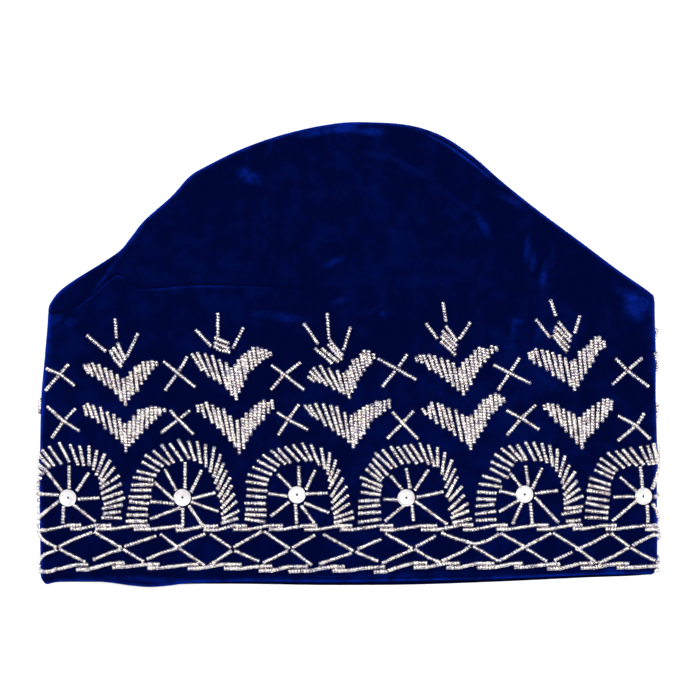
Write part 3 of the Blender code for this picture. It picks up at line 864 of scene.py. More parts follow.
# Rays of each spray and the small field of strands below them: start x, start y, end x, end y
SPRAYS = [
    [
        (115.3, 318.5, 117, 339), (87, 335, 106.5, 351.5), (138.5, 333.5, 127.5, 356.5),
        (118, 343, 126, 360.5), (113.7, 347, 123.5, 363.5), (110.3, 349.5, 115, 359, 122.5, 367.5),
    ],
    [
        (218.3, 312.5, 218, 337), (195.5, 329.5, 211.5, 346.3), (244, 327, 233, 349),
        (214.5, 337.5, 229.5, 343.5), (214.5, 342.5, 230, 349), (213.5, 346, 221, 350.5, 231, 352.5),
    ],
    [
        (327.3, 313, 329, 339.5), (303.8, 323.5, 318.5, 344.5), (350.5, 327, 343.5, 350.5),
        (329.5, 340, 343, 356), (327.5, 344, 342.5, 360), (321.5, 348, 338.7, 362.3),
        (314.7, 348, 332.7, 363.7),
    ],
    [
        (442.5, 302, 446, 321.5), (425.5, 323, 437.5, 339), (470.3, 322, 459.3, 339.5),
        (445.3, 325.5, 457, 341.5), (441.7, 330.5, 457, 346.3), (440.5, 335.5, 456, 350.7),
        (440, 341, 455.7, 355.3),
    ],
    [
        (550, 300, 555.5, 316.5), (535, 319, 550, 338), (579.7, 315.5, 574, 334),
        (557.5, 321.7, 571, 337.5), (554.5, 326.3, 570.5, 342), (553.5, 330.5, 569, 348.3),
        (552.3, 334.7, 559, 343.5, 567, 352),
    ],
]

# A cross: its upper left end, its middle, its lower right, upper right and lower left ends
Cross = namedtuple("Cross", "left_x left_y middle_x middle_y foot_x foot_y right_x right_y end_x end_y")
CROSSES = [
    Cross(46.3, 368.3, 60.5, 374, 75.5, 386, 69.3, 364, 45.5, 391),
    Cross(163.5, 361, 178, 373, 196, 387.5, 188, 356.5, 165, 390.7),
    Cross(271, 365, 284.5, 374.5, 304.5, 390, 301, 362, 270.5, 390),
    Cross(377.5, 358.5, 397, 369, 416.5, 380, 407.5, 354, 382, 386.8),
    Cross(493, 364.5, 509.5, 373, 530.5, 383.5, 519.5, 357.5, 497.5, 390),
    Cross(615, 358, 627, 370.5, 648.5, 387, 641.5, 358, 611.5, 385),
    Cross(47.5, 406, 64, 421, 80, 431, 76.5, 408, 52, 438.5),
    Cross(170, 410, 179, 419.5, 194, 434.5, 191, 410, 161.5, 432.5),
    Cross(277, 412, 288.5, 419.5, 308.5, 429.8, 299, 404, 278, 435.5),
    Cross(392, 411.5, 402.5, 423, 418.5, 439.5, 413.7, 410.7, 387, 438.5),
    Cross(506, 410, 521, 418, 539, 429.5, 536, 404.5, 506.5, 435.5),
    Cross(617.5, 415.5, 636, 425.5, 649.5, 439, 644, 413, 617, 441),
]
CROSS_MIDDLE = 287.0
TYPICAL_CROSSES = (CROSSES[2], CROSSES[8])

# Rope rows: each strand starts low beside the end of the one before it, which is high. On the back the
# strands are alike: how far on the next one starts, how far it runs beside that, and its two heights
Lap = namedtuple("Lap", "start end low high")
UPPER_LAPS = [
    Lap(30, 46, 530.5, 525.3), Lap(70.5, 81.5, 528.9, 524.7), Lap(95.5, 112, 528.9, 524.8),
    Lap(134, 149.5, 529.2, 525.3), Lap(176, 184, 530.2, 525.7), Lap(203.5, 218.5, 529.8, 525.5),
    Lap(233, 248, 529.3, 525.1), Lap(269, 283.5, 529.1, 525), Lap(304, 317.5, 529.3, 525),
    Lap(339.5, 352, 529.5, 525.2), Lap(379.5, 393.5, 529.7, 525.2), Lap(420.5, 437.5, 529.5, 525.2),
    Lap(462, 473.5, 529.5, 524.2), Lap(496, 508, 529, 524.5), Lap(536, 548.5, 529, 524.5),
    Lap(572, 582.5, 528.8, 524.5), Lap(605, 616.5, 529, 524.8), Lap(645, 659, 529.5, 525),
]
LOWER_LAPS = [
    Lap(28, 48, 571, 565.8), Lap(55, 53, 568.4, 569.4), Lap(76, 89, 569, 564.2),
    Lap(112.5, 124.5, 566.8, 562.4), Lap(147.5, 159.5, 567.7, 563.6), Lap(187.5, 199, 568, 563.8),
    Lap(224, 241.5, 568, 563.6), Lap(258.5, 272.5, 569.8, 565.5), Lap(288.5, 308, 570.3, 566),
    Lap(332, 345, 570, 566), Lap(373.5, 385.5, 570.7, 566.5), Lap(413, 427.5, 566.8, 562.3),
    Lap(445.5, 459.5, 567.3, 562.7), Lap(476.5, 494, 567, 562.7), Lap(513.5, 523, 566.8, 562.7),
    Lap(546.5, 560, 568.2, 563.7), Lap(580, 593.5, 567.3, 562.7), Lap(616, 629.5, 567.3, 563.2),
    Lap(655, 667, 570, 565.5),
]
BACK_LAP = Lap(36.5, 12.0, 529.3, 525.0)
LOWER_ROW_DROP = 39.0
LAST_GAP = 1.5
LAP_SHORTEST = 6.0
LAP_TURN = 3.0
LAP_SLOPE = 0.2

# The lattice between the rope rows: places along each strand
LATTICE = [
    (30, 527, 45, 541, 57, 547.5), (59.5, 546.5, 72, 540, 92.5, 532.3),
    (57.5, 549.5, 45, 554.5, 31, 567), (59, 548.7, 86, 561.8), (94, 531.5, 121.5, 547.2),
    (93, 559.7, 109, 552.7, 122, 549.3), (123.5, 548.8, 144.5, 561.5), (124.5, 546.3, 157, 535.5),
    (160.5, 533.3, 178, 547), (147, 559, 163, 552, 178.3, 547.8), (179, 546, 192, 538.5, 206, 533.5),
    (179.5, 548, 205, 565), (210, 533.5, 231.5, 547.5), (210, 564.5, 231.5, 550.5),
    (233.5, 547, 262, 531), (234.5, 550, 259.5, 561), (264, 531, 289.5, 548), (263, 562.5, 288, 550.5),
    (292, 547.5, 315.5, 534.5), (291.5, 549.5, 312.5, 565), (323.5, 534, 353.5, 550.5),
    (319, 563.5, 352, 552.5), (357.5, 548.7, 381.5, 538.5), (355, 551.3, 378.5, 561),
    (384.7, 532.8, 412.5, 548), (381.5, 563, 399, 555, 413, 549.3), (415.3, 546.5, 436, 535.5),
    (414.5, 548.5, 428, 557, 441, 562), (441, 532.5, 456, 538.3, 475, 543.7, 487, 540.5, 499, 533.5),
    (441.5, 560.5, 463, 551, 470.5, 545.5), (472.5, 546, 481, 550.5, 498, 560.5),
    (500.5, 533, 523.5, 545.5), (498, 561, 510, 554.5, 524.5, 546.5, 537, 540, 551, 532.7),
    (526.5, 548.5, 547, 561), (552.5, 532.5, 577, 547.5), (553.5, 560, 572.5, 551.5),
    (574.5, 549.5, 592, 542.5, 608.5, 533.5), (577.5, 548.5, 597, 563), (610.5, 533, 629, 546.5),
    (598.5, 563, 615, 555, 628.5, 547.5), (630, 547.5, 645, 556, 655, 561),
    (631.5, 545.5, 647, 537.5, 655, 534), (656, 534.5, 685, 547.5), (657, 562, 683, 548.5),
]
BACK_CROSSINGS = (687.0, 745.0, 803.0, 861.0, 919.0, 977.0, 1035.0, 1093.0, 1151.0, 1209.0)
CROSSING_Y = 547.0
PEAK_Y = 533.0
VALLEY_Y = 561.5
ARM_REACH = 27.0
ARM_GAP = 2.4
ARM_SPREAD = 1.2


def on_fold(flat):
    """Where points of the flat pattern lie on the folded band, and the way out of the cloth there."""
    s, y = flat.T
    left, right = roll_centres(y)
    loop = 2.0 * (right - left + FOLD_TURN)
    s = np.where(s > left + loop - FOLD_TURN, s - loop, s)
    past_right, past_left = s - right, left - s
    past = np.maximum(past_right, past_left)
    angle = np.clip(past / FOLD_TURN, 0.0, 1.0) * math.pi
    outward = np.where(past_right > past_left, 1.0, -1.0)
    x = np.clip(s, left, right) - outward * np.maximum(past - FOLD_TURN, 0.0)
    reach, rise = outward * np.sin(angle), np.cos(angle)
    x = x + reach * FOLD_RADIUS
    base = np.stack([x, y, height(x, y, rise)], axis=1)
    return base, np.stack([reach, np.zeros_like(reach), rise], axis=1)


def settle(tree, flat, stand_off):
    """Puts points of the flat pattern on the cloth's own surface, a little off it."""
    base, out = on_fold(flat)
    places, normals = [], []
    for start, way in zip(base + out * RAY_START, -out):
        hit, normal, _, _ = tree.ray_cast(Vector(start * MM), Vector(way))
        if hit is None:
            raise RuntimeError(f"a bead misses the cloth at {start}")
        places.append(np.array(hit) / MM + np.array(normal) * stand_off)
        normals.append(normal)
    return np.array(places), np.array(normals)


def spread_along(points, pitch):
    """Evenly spread places along a line of points, a pitch apart as nearly as the line's length allows."""
    points = np.asarray(points, float)
    steps = np.hypot(*np.diff(points, axis=0).T)
    reached = np.concatenate([[0.0], np.cumsum(steps)])
    count = max(int(round(reached[-1] / pitch)), 2)
    places = (np.arange(count) + 0.5) / count * reached[-1]
    return np.stack([np.interp(places, reached, points[:, axis]) for axis in (0, 1)], axis=1)


def bead_shape(has_hole):
    """A seed bead along X, a short round barrel: its points, and its faces as point numbers."""
    half = BEAD_LENGTH / 2.0
    profile = [
        (-half, BEAD_RADIUS * BEAD_SHOULDER),
        (-half * BEAD_BARREL, BEAD_RADIUS),
        (half * BEAD_BARREL, BEAD_RADIUS),
        (half, BEAD_RADIUS * BEAD_SHOULDER),
    ]
    if has_hole:
        profile.append((half * HOLE_DEPTH, BEAD_HOLE))
    bm = bmesh.new()
    verts = [bm.verts.new((x, 0.0, radius)) for x, radius in profile]
    edges = [bm.edges.new(pair) for pair in zip(verts, verts[1:])]
    bmesh.ops.spin(bm, geom=verts + edges, axis=(1.0, 0.0, 0.0), cent=(0.0, 0.0, 0.0),
                   steps=BEAD_SIDES, angle=2.0 * math.pi, use_merge=True)
    bmesh.ops.holes_fill(bm, edges=[edge for edge in bm.edges if edge.is_boundary])
    bmesh.ops.recalc_face_normals(bm, faces=bm.faces)
    bmesh.ops.triangulate(bm, faces=bm.faces)
    bm.verts.ensure_lookup_table()
    points = np.array([vert.co[:] for vert in bm.verts])
    faces = np.array([[vert.index for vert in face.verts] for face in bm.faces])
    bm.free()
    return points, faces


def unit(rows):
    return rows / np.linalg.norm(rows, axis=1, keepdims=True)


def bead_places(tree, strands, random):
    """Each bead's middle and three directions, and which beads end a strand, with their hole outward."""
    rows = [spread_along(pattern_place(strand), BEAD_PITCH) for strand in strands]
    counts = np.array([len(row) for row in rows])
    flat = np.vstack(rows)
    flat += random.normal(0.0, BEAD_UNEVEN, flat.shape)
    centres, normals = settle(tree, flat, BEAD_RADIUS - BEAD_SINK)
    centres += normals * random.normal(0.0, BEAD_UNEVEN, (len(flat), 1))
    lasts = np.cumsum(counts) - 1
    firsts = lasts - counts + 1
    ways = np.vstack([np.gradient(part, axis=0) for part in np.split(centres, firsts[1:])])
    ways[firsts] *= -1.0
    is_end = np.zeros(len(flat), bool)
    is_end[firsts] = is_end[lasts] = True
    tip = np.where(is_end, np.abs(random.normal(0.0, END_TIP, len(flat))), 0.0)[:, None]
    ways = unit(unit(ways) + normals * tip + random.normal(0.0, BEAD_TILT, ways.shape))
    across = unit(np.cross(normals, ways))
    return centres, (ways, across, np.cross(ways, across)), is_end


def bead_piece(name, tree, strands, finish, seed):
    """All of one motif's beads as one mesh, each bead along its strand and sewn down on the cloth."""
    random = np.random.default_rng(seed)
    centres, (ways, across, up), is_end = bead_places(tree, strands, random)
    turn = random.uniform(0.0, 2.0 * math.pi, (len(centres), 1))
    side = across * np.cos(turn) + up * np.sin(turn)
    top = up * np.cos(turn) - across * np.sin(turn)
    sizes = 1.0 + random.normal(0.0, BEAD_SIZES, len(centres))
    tones = random.uniform(0.0, 1.0, len(centres))
    hues = random.uniform(0.0, 1.0, len(centres))
    places, numbers, spread, tints = [], [], [], []
    taken = 0
    for chosen, (points, faces) in ((~is_end, bead_shape(False)), (is_end, bead_shape(True))):
        shaped = points[None] * sizes[chosen, None, None]
        axes = np.stack([ways[chosen], side[chosen], top[chosen]], axis=1)
        places.append((centres[chosen, None] + shaped @ axes).reshape(-1, 3))
        starts = taken + np.arange(chosen.sum()) * len(points)
        numbers.append((faces[None] + starts[:, None, None]).reshape(-1, 3))
        spread.append(np.repeat(tones[chosen], len(points)))
        tints.append(np.repeat(hues[chosen], len(points)))
        taken += chosen.sum() * len(points)
    mesh = bpy.data.meshes.new(name)
    mesh.from_pydata((np.vstack(places) * MM).tolist(), [], np.vstack(numbers).tolist())
    for label, values in (("tone", spread), ("hue", tints)):
        mesh.attributes.new(label, "FLOAT", "POINT").data.foreach_set("value", np.concatenate(values))
    mesh.shade_smooth()
    mesh.materials.append(finish)
    obj = bpy.data.objects.new(name, mesh)
    bpy.context.scene.collection.objects.link(obj)
    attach(obj, "root")


def strand(row):
    """A table's row of numbers as the strand's points."""
    return np.array(row, float).reshape(-1, 2)


def moved(rows, along, random):
    """Strands moved along the pattern, a little out of line as hand work is."""
    return [strand(row) + (along, 0.0) + random.normal(0.0, HAND_DRIFT, 2) for row in rows]


def repeated(table, middles, places, random):
    """The front's motifs again at other places, one after another."""
    strands = []
    for number, place in enumerate(places):
        chosen = (number + 1) % len(table)
        strands += moved(table[chosen], place - middles[chosen], random)
    return strands


def cross_strands(cross):
    """One whole strand, and another in two parts that stop at each side of it."""
    left, middle, foot, right, end = strand(cross)
    gaps = [(far - middle) / np.linalg.norm(far - middle) * ARM_GAP for far in (right, end)]
    whole = np.array([left, middle, foot])
    return [whole, np.array([right, middle + gaps[0]]), np.array([middle + gaps[1], end])]


def rope_strands(laps, drop):
    """A rope row round the whole loop: each strand runs on beside the start of the next one."""
    laps = list(laps)
    while laps[-1].start < laps[0].start + LOOP_PIXELS - LAST_GAP * BACK_LAP.start:
        start = laps[-1].start + BACK_LAP.start
        laps.append(Lap(start, start + BACK_LAP.end, BACK_LAP.low + drop, BACK_LAP.high + drop))
    first = laps[0]
    laps.append(first._replace(start=first.start + LOOP_PIXELS, end=first.end + LOOP_PIXELS))
    strands = []
    for lap, following in zip(laps, laps[1:]):
        turn = min(max(lap.end, lap.start + LAP_SHORTEST), following.start - LAP_TURN)
        low_part = (lap.start, lap.low, turn, lap.low - LAP_SLOPE)
        high_part = (following.start, following.high + LAP_SLOPE, following.end, following.high)
        strands.append(strand(low_part + high_part))
    return strands


def back_lattice():
    """The lattice on the back, of straight arms between the crossings."""
    strands = []
    for middle in BACK_CROSSINGS:
        for side in (-1.0, 1.0):
            near, far = middle + side * ARM_GAP, middle + side * ARM_REACH
            strands.append(strand((near, CROSSING_Y + ARM_SPREAD, far, VALLEY_Y)))
            strands.append(strand((near, CROSSING_Y - ARM_SPREAD, far, PEAK_Y)))
    return strands


class Signal:
    """A node's output, on which Python's own operators add Math nodes."""

    def __init__(self, recipe, socket):
        self.recipe = recipe
        self.socket = socket

    def maths(self, operation, first, second):
        return self.recipe.add("ShaderNodeMath", {"operation": operation}, {0: first, 1: second})

    def __add__(self, other):
        return self.maths("ADD", self, other)

    __radd__ = __add__

    def __sub__(self, other):
        return self.maths("SUBTRACT", self, other)

    def __rsub__(self, other):
        return self.maths("SUBTRACT", other, self)

    def __mul__(self, other):
        return self.maths("MULTIPLY", self, other)

    __rmul__ = __mul__


def opaque(colour):
    return tuple(colour) + (1.0,)


class Recipe:
    """A material's nodes. A colour is four numbers, and a value may be a number or another node's Signal."""

    def __init__(self, name):
        self.material = bpy.data.materials.new(name)
        self.material.use_nodes = True
        self.tree = self.material.node_tree
        self.tree.nodes.clear()
        self.place = self.add("ShaderNodeTexCoord", output="Object")

    def add(self, kind, settings=None, values=None, output=0):
        node = self.tree.nodes.new(kind)
        for name, value in (settings or {}).items():
            setattr(node, name, value)
        for name, value in (values or {}).items():
            if isinstance(value, Signal):
                self.tree.links.new(value.socket, node.inputs[name])
            else:
                node.inputs[name].default_value = value
        return Signal(self, node.outputs[output])

    def noise(self, scale, detail=2.0, roughness=0.5):
        values = {"Vector": self.place, "Scale": scale, "Detail": detail, "Roughness": roughness}
        return self.add("ShaderNodeTexNoise", None, values, "Fac")

    def blend(self, factor, first, second):
        settings = {"data_type": "RGBA"}
        return self.add("ShaderNodeMix", settings, {0: factor, 6: first, 7: second}, 2)

    def between(self, value, low, high):
        """A value's share of the way from low to high, held between 0 and 1 and eased."""
        settings = {"interpolation_type": "SMOOTHSTEP"}
        return self.add("ShaderNodeMapRange", settings, {"Value": value, 1: low, 2: high})

    def bump(self, heights, depth, strength):
        values = {"Height": heights, "Distance": depth, "Strength": strength}
        return self.add("ShaderNodeBump", None, values)

    def shader(self, values):
        return self.add("ShaderNodeBsdfPrincipled", None, values)

    def finish(self, surface):
        output = self.tree.nodes.new("ShaderNodeOutputMaterial")
        self.tree.links.new(surface.socket, output.inputs["Surface"])
        return self.material


def velvet_finish(settings):
    recipe = Recipe("cut_velvet")
    nap = recipe.add("ShaderNodeAttribute", {"attribute_name": "nap"}, None, "Fac")
    shade = recipe.add("ShaderNodeAttribute", {"attribute_name": "shade"}, None, "Fac")
    cloudy = recipe.noise(18.0, 3.0, 0.6)
    mottled = recipe.noise(110.0, 4.0, 0.65)
    pile = recipe.noise(1400.0, 2.0, 0.7)
    scratched = recipe.noise(420.0, 3.0, 0.7)
    # Painted sheen: the base colour moves from deep towards the lighter painted sheen colour where the sheen
    # attribute is high, broken up by noise, plus a little random mottling; painted shade keeps it deep
    ragged = nap * (0.25 + recipe.between(mottled * 0.5 + scratched * 0.5, 0.38, 0.6))
    resting = recipe.between(cloudy * 0.4 + mottled * 0.6, 0.44, 0.66) * 0.1
    amount = (ragged * 0.55 + resting) * (0.75 + recipe.between(pile, 0.3, 0.7) * 0.5) * (1.0 - shade)
    rim = opaque(settings.rim)
    body = recipe.shader({
        "Base Color": recipe.blend(amount, opaque(settings.deep), opaque(settings.nap)),
        "Roughness": 1.0,
        "Specular IOR Level": 0.0,
        "Sheen Weight": settings.sheen,
        "Sheen Roughness": 0.2,
        "Sheen Tint": rim,
        "Normal": recipe.bump(pile + mottled * 0.8, 0.0002, 0.4),
    })
    edge = recipe.shader({"Base Color": rim, "Roughness": 1.0, "Specular IOR Level": 0.0})
    facing = recipe.add("ShaderNodeLayerWeight", None, {"Blend": 0.5}, "Facing")
    grazing = recipe.between(facing, 0.36, 0.95)
    # Painted shade also holds back the rim sheen
    turned = grazing * grazing * (1.0 - shade)
    return recipe.finish(recipe.add("ShaderNodeMixShader", None, {0: turned, 1: body, 2: edge}))


def bead_finish(settings):
    recipe = Recipe("silver_lined_glass")
    tone = recipe.add("ShaderNodeAttribute", {"attribute_name": "tone"}, None, "Fac")
    hue = recipe.add("ShaderNodeAttribute", {"attribute_name": "hue"}, None, "Fac")
    streaks = recipe.noise(1300.0, 2.0, 0.7)
    clear = recipe.between(tone * 0.5 + streaks * 0.5, 0.18, 0.6)
    silver = recipe.blend(clear, opaque(settings.dull), opaque(settings.bright))
    return recipe.finish(recipe.shader({
        "Base Color": recipe.blend(recipe.between(hue, 0.6, 1.0) * 0.7, silver, opaque(settings.cool)),
        "Metallic": 0.9,
        "Roughness": recipe.between(tone, 0.0, 1.0) * 0.16 + 0.12,
        "Coat Weight": 0.5,
        "Coat Roughness": 0.08,
        "Normal": recipe.bump(streaks, 0.0003, 0.45),
    }))


def sequin_finish(settings):
    recipe = Recipe("pearl_sequin")
    drift = recipe.noise(260.0, 1.0)
    # Painted shade with a pink tint: the blush stands for parts of a sequin turned from the light, laid in
    # noise patches rather than by the sequin's shape
    turned = recipe.between(drift, 0.45, 0.75) * 0.5
    return recipe.finish(recipe.shader({
        "Base Color": recipe.blend(turned, opaque(settings.pearl), opaque(settings.blush)),
        "Metallic": 0.2,
        "Roughness": 0.25,
        "Coat Weight": 0.7,
        "Coat Roughness": 0.04,
        "Normal": recipe.bump(drift, 0.0004, 0.3),
    }))


def floor_finish(settings):
    recipe = Recipe("studio_floor")
    grain = recipe.noise(30.0, 2.0)
    paper = opaque(settings.floor)
    shade = opaque(0.98 * part for part in settings.floor)
    return recipe.finish(recipe.shader({
        "Base Color": recipe.blend(grain, shade, paper),
        "Roughness": 0.9,
        "Specular IOR Level": 0.1,
        "Emission Color": paper,
        "Emission Strength": settings.glow,
    }))


def colour_property(name, description, default):
    return bpy.props.FloatVectorProperty(
        name=name, description=description, default=default,
        size=3, min=0.0, max=1.0, subtype="COLOR",
    )


class VelvetSettings(bpy.types.PropertyGroup):
    deep: colour_property("Deep", "Velvet seen straight down into its pile", (0.0002, 0.0017, 0.026))
    # Nap is a painted sheen colour: velvet where its pile catches the light
    nap: colour_property("Nap", "Velvet where its pile leans to the light", (0.0018, 0.0145, 0.24))
    rim: colour_property("Rim", "Sheen of the pile along folds", (0.002, 0.026, 0.36))
    sheen: bpy.props.FloatProperty(
        name="Sheen", description="Strength of the sheen along folds", default=0.25,
        min=0.0, max=1.0, subtype="FACTOR",
    )


class BeadSettings(bpy.types.PropertyGroup):
    bright: colour_property("Bright", "Silver lining of the clearest beads", (1.0, 0.945, 0.9))
    dull: colour_property("Dull", "Silver lining of the greyest beads", (0.58, 0.49, 0.52))
    cool: colour_property("Cool", "Silver lining of the beads that look bluish", (0.58, 0.56, 0.70))


class SequinSettings(bpy.types.PropertyGroup):
    radius: bpy.props.FloatProperty(
        name="Radius", description="From a sequin's middle to its rim", default=0.004,
        min=0.001, unit="LENGTH",
    )
    pearl: colour_property("Pearl", "Colour of the sequins", (0.93, 0.91, 0.92))
    # Blush is a painted shade colour, laid on the sequins in noise patches
    blush: colour_property("Blush", "Tint where a sequin turns from the light", (0.62, 0.48, 0.50))


class StudioSettings(bpy.types.PropertyGroup):
    floor: colour_property("Floor", "Colour of the floor", (0.95, 0.95, 0.95))
    glow: bpy.props.FloatProperty(
        name="Glow", description="Light that the white floor gives off", default=0.35,
        min=0.0, max=2.0,
    )
    lens: bpy.props.FloatProperty(
        name="Lens", description="Focal length of the camera", default=400.0,
        min=20.0, unit="CAMERA",
    )
    key: bpy.props.FloatProperty(
        name="Key light", description="Power of the overhead light", default=36.0,
        min=0.0, unit="POWER",
    )


def piece_tree(name):
    """A piece's surface, for what is sewn to it."""
    obj = bpy.data.objects.get(name)
    if obj is None:
        raise RuntimeError(f"make {name} before what is sewn to it")
    bm = bmesh.new()
    bm.from_mesh(obj.data)
    tree = BVHTree.FromBMesh(bm)
    bm.free()
    return tree


def shared_finish(name, make, settings):
    return bpy.data.materials.get(name) or make(settings)


def velvet_piece(obj, node, settings):
    obj.data.materials.append(shared_finish("cut_velvet", velvet_finish, settings))
    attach(obj, "root")
    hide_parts(node)


class VELVETCAP_OT_side_band(bpy.types.Operator):
    """Make the tube of velvet that goes round the head, pressed flat"""
    bl_idname = "velvet_cap.side_band"
    bl_label = "Side band"

    def execute(self, context):
        stations, section = len(band_stations()) - 1, len(band_section()) - 1
        obj = cloth("velvet_band", stations, section, band_places, band_sheen_and_shade)
        velvet_piece(obj, "side_band", context.scene.cap_velvet)
        return {"FINISHED"}


class VELVETCAP_OT_crown(bpy.types.Operator):
    """Make the dome of velvet above the seam, pressed flat"""
    bl_idname = "velvet_cap.crown"
    bl_label = "Crown"

    def execute(self, context):
        obj = cloth("velvet_crown", CROWN_COLUMNS, len(crown_section()) - 1, crown_places, crown_sheen_and_shade)
        velvet_piece(obj, "crown", context.scene.cap_velvet)
        return {"FINISHED"}


SEQUIN_SIDES = 40
SEQUIN_LIFT = 0.35
SEQUIN_LEAN = 0.03
SHARP_ANGLE = math.radians(40.0)


def sequin_profile(radius):
    """A cupped sequin's section: a flat middle round the hole, a turned-up rim, and a thin edge.

    Each point is its distance from the middle and its height, as shares of the radius.
    """
    under = [(0.14, 0.02), (0.56, 0.02), (0.80, 0.075), (1.0, 0.17)]
    top = [(1.0, 0.215), (0.80, 0.115), (0.56, 0.06), (0.16, 0.06), (0.13, 0.045)]
    return [(x * radius, z * radius) for x, z in under + top]


class VELVETCAP_OT_sequins(bpy.types.Operator):
    """Make the cupped sequins at the middles of the arches"""
    bl_idname = "velvet_cap.sequins"
    bl_label = "Sequins"

    def execute(self, context):
        settings = context.scene.cap_sequins
        finish = shared_finish("pearl_sequin", sequin_finish, settings)
        tree = piece_tree("velvet_band")
        random = np.random.default_rng(seed=3)
        nodes = sorted(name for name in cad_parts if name.startswith("sequin_"))
        for node in nodes:
            low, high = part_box(node)
            middle = (low + high) / 2.0
            side = 1.0 if middle.z > CAD_BOX[1].z / 2.0 else -1.0
            start = Vector((middle.x, middle.y, middle.z + side * RAY_START * MM))
            hit, normal, _, _ = tree.ray_cast(start, Vector((0.0, 0.0, -side)))
            bm = bmesh.new()
            points = [bm.verts.new((x, 0.0, z)) for x, z in sequin_profile(settings.radius)]
            edges = [bm.edges.new(pair) for pair in zip(points, points[1:] + points[:1])]
            bmesh.ops.spin(bm, geom=points + edges, axis=(0.0, 0.0, 1.0), cent=(0.0, 0.0, 0.0),
                           steps=SEQUIN_SIDES, angle=2.0 * math.pi, use_merge=True)
            bmesh.ops.recalc_face_normals(bm, faces=bm.faces)
            lean = Vector((*random.normal(0.0, SEQUIN_LEAN, 2), 0.0))
            turn = (normal + lean).to_track_quat("Z", "Y").to_matrix().to_4x4()
            place = Matrix.Translation(hit + normal * SEQUIN_LIFT * MM) @ turn
            bmesh.ops.transform(bm, matrix=place, verts=bm.verts)
            obj = keep(node.replace("sequin", "cupped_sequin"), bm)
            obj.data.set_sharp_from_angle(angle=SHARP_ANGLE)
            obj.data.materials.append(finish)
            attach(obj, "root")
            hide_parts(node)
        return {"FINISHED"}


def sew(context, name, strands, seed):
    finish = shared_finish("silver_lined_glass", bead_finish, context.scene.cap_beads)
    bead_piece(name, piece_tree("velvet_band"), strands, finish, seed)


class VELVETCAP_OT_arches(bpy.types.Operator):
    """Sew the ribs of the eleven arches"""
    bl_idname = "velvet_cap.arches"
    bl_label = "Arches"

    def execute(self, context):
        random = np.random.default_rng(seed=4)
        front = [strand(row) for arch in ARCHES for row in arch]
        back = repeated(ARCHES[WHOLE], WHEEL_MIDDLES[WHOLE], BACK_ARCHES, random)
        sew(context, "arches_front", front, seed=11)
        sew(context, "arches_back", back, seed=12)
        return {"FINISHED"}


class VELVETCAP_OT_wheels(bpy.types.Operator):
    """Sew the spokes round each sequin"""
    bl_idname = "velvet_cap.wheels"
    bl_label = "Wheels"

    def execute(self, context):
        random = np.random.default_rng(seed=4)
        front = [strand(row) for wheel in WHEELS for row in wheel]
        back = repeated(WHEELS[WHOLE], WHEEL_MIDDLES[WHOLE], BACK_ARCHES, random)
        sew(context, "wheel_spokes", front + back, seed=13)
        return {"FINISHED"}


class VELVETCAP_OT_chevrons(bpy.types.Operator):
    """Sew the two rows of chevrons"""
    bl_idname = "velvet_cap.chevrons"
    bl_label = "Chevrons"

    def execute(self, context):
        random = np.random.default_rng(seed=5)
        upper = [strand(row) for chevron in UPPER_CHEVRONS for row in chevron]
        upper += repeated(UPPER_CHEVRONS, UPPER_TIPS, BACK_UPPER_TIPS, random)
        lower = [strand(row) for chevron in LOWER_CHEVRONS for row in chevron]
        lower += repeated(LOWER_CHEVRONS, LOWER_TIPS, BACK_LOWER_TIPS, random)
        sew(context, "chevrons_upper", upper, seed=14)
        sew(context, "chevrons_lower", lower, seed=15)
        return {"FINISHED"}


class VELVETCAP_OT_sprays(bpy.types.Operator):
    """Sew the sprays above the chevrons and the crosses between them"""
    bl_idname = "velvet_cap.sprays"
    bl_label = "Sprays and crosses"

    def execute(self, context):
        random = np.random.default_rng(seed=6)
        sprays = [strand(row) for spray in SPRAYS for row in spray]
        sprays += repeated(SPRAYS, UPPER_TIPS, BACK_UPPER_TIPS, random)
        crosses = [piece for cross in CROSSES for piece in cross_strands(cross)]
        for place in BACK_CROSSES:
            for cross in TYPICAL_CROSSES:
                crosses += moved(cross_strands(cross), place - CROSS_MIDDLE, random)
        sew(context, "sprays", sprays, seed=16)
        sew(context, "crosses", crosses, seed=17)
        return {"FINISHED"}


class VELVETCAP_OT_borders(bpy.types.Operator):
    """Sew the two rope rows above the hem and the lattice between them"""
    bl_idname = "velvet_cap.borders"
    bl_label = "Borders"

    def execute(self, context):
        ropes = rope_strands(UPPER_LAPS, 0.0) + rope_strands(LOWER_LAPS, LOWER_ROW_DROP)
        sew(context, "rope_rows", ropes, seed=18)
        sew(context, "lattice", [strand(row) for row in LATTICE] + back_lattice(), seed=19)
        return {"FINISHED"}


# Soft lights: where each stands in metres, and its share of the key light's power
Softbox = namedtuple("Softbox", "name place share")
SOFTBOXES = [
    Softbox("overhead_light", (0.0, 0.05, 2.0), 1.0),
    Softbox("left_light", (-1.5, 0.9, 1.1), 0.3),
    Softbox("right_light", (1.6, -0.3, 1.2), 0.2),
]
SOFTBOX_SIZE = 0.8
SKY_COLOUR = (0.9, 0.93, 1.0, 1.0)
SKY_STRENGTH = 0.2
FLOOR_REACH = 2.5
FLOOR_DROP = 0.1


def soft_light(name, place, power):
    """A square soft light that points at the cap."""
    light = bpy.data.lights.new(name, "AREA")
    light.shape = "SQUARE"
    light.size = SOFTBOX_SIZE
    light.energy = power
    obj = bpy.data.objects.new(name, light)
    obj.location = place
    obj.rotation_euler = (-Vector(place)).to_track_quat("-Z", "Y").to_euler()
    bpy.context.scene.collection.objects.link(obj)


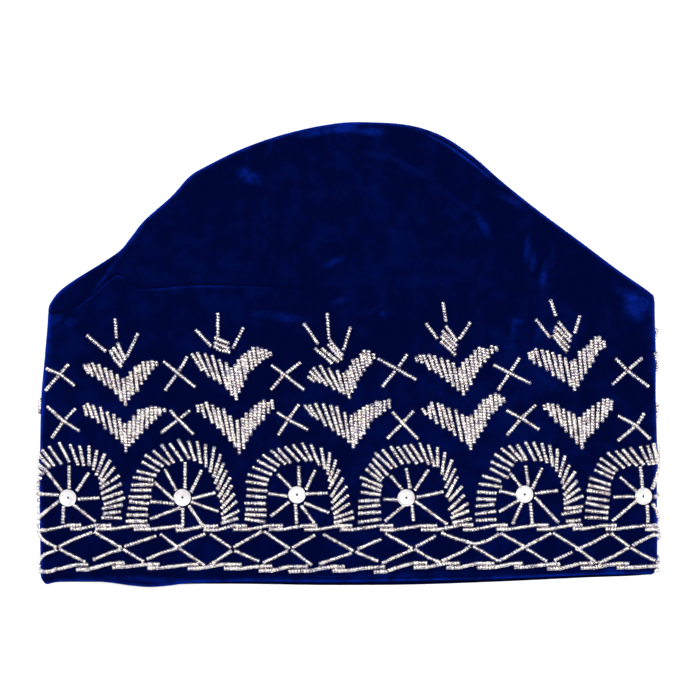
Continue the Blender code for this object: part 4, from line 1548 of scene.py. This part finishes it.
class VELVETCAP_OT_stage(bpy.types.Operator):
    """Make the floor, the soft lights and the camera straight above the cap"""
    bl_idname = "velvet_cap.stage"
    bl_label = "Stage"

    def execute(self, context):
        settings = context.scene.cap_studio
        bm = bmesh.new()
        bmesh.ops.create_grid(bm, x_segments=1, y_segments=1, size=FLOOR_REACH)
        bmesh.ops.translate(bm, verts=bm.verts, vec=(0.0, 0.0, -FLOOR_DROP * MM))
        floor = keep("floor", bm)
        floor.data.materials.append(floor_finish(settings))
        for softbox in SOFTBOXES:
            soft_light(softbox.name, softbox.place, settings.key * softbox.share)
        world = bpy.data.worlds.new("studio")
        world.use_nodes = True
        sky = world.node_tree.nodes["Background"].inputs
        sky["Color"].default_value = SKY_COLOUR
        sky["Strength"].default_value = SKY_STRENGTH
        context.scene.world = world
        context.scene.view_settings.view_transform = "Standard"
        camera = bpy.data.cameras.new("camera")
        camera.lens = settings.lens
        obj = bpy.data.objects.new("camera", camera)
        away = FRAME_PIXELS * PIXEL * MM * camera.lens / camera.sensor_width
        frame_middle = pattern_place((FRAME_PIXELS / 2.0, FRAME_PIXELS / 2.0)) * MM
        obj.location = (frame_middle[0], frame_middle[1], away + CAD_BOX[1].z * 0.5)
        context.scene.collection.objects.link(obj)
        context.scene.camera = obj
        return {"FINISHED"}


OPERATORS = (
    VELVETCAP_OT_side_band,
    VELVETCAP_OT_crown,
    VELVETCAP_OT_sequins,
    VELVETCAP_OT_arches,
    VELVETCAP_OT_wheels,
    VELVETCAP_OT_chevrons,
    VELVETCAP_OT_sprays,
    VELVETCAP_OT_borders,
    VELVETCAP_OT_stage,
)


class VELVETCAP_PT_pieces(bpy.types.Panel):
    bl_label = "Velvet Cap"
    bl_space_type = "VIEW_3D"
    bl_region_type = "UI"
    bl_category = "Velvet Cap"

    def draw(self, context):
        for operator in OPERATORS:
            self.layout.operator(operator.bl_idname)
        for name in SETTINGS:
            group = getattr(context.scene, name)
            for key in group.bl_rna.properties.keys():
                if key not in ("rna_type", "name"):
                    self.layout.prop(group, key)


SETTINGS = {
    "cap_velvet": VelvetSettings,
    "cap_beads": BeadSettings,
    "cap_sequins": SequinSettings,
    "cap_studio": StudioSettings,
}


def register():
    for name, group in SETTINGS.items():
        bpy.utils.register_class(group)
        setattr(bpy.types.Scene, name, bpy.props.PointerProperty(type=group))
    for made in (*OPERATORS, VELVETCAP_PT_pieces):
        bpy.utils.register_class(made)


def unregister():
    for made in (VELVETCAP_PT_pieces, *reversed(OPERATORS)):
        bpy.utils.unregister_class(made)
    for name, group in reversed(SETTINGS.items()):
        delattr(bpy.types.Scene, name)
        bpy.utils.unregister_class(group)


def main():
    register()
    for operator in OPERATORS:
        group, name = operator.bl_idname.split(".")
        getattr(getattr(bpy.ops, group), name)()


if __name__ == "__main__":
    main()
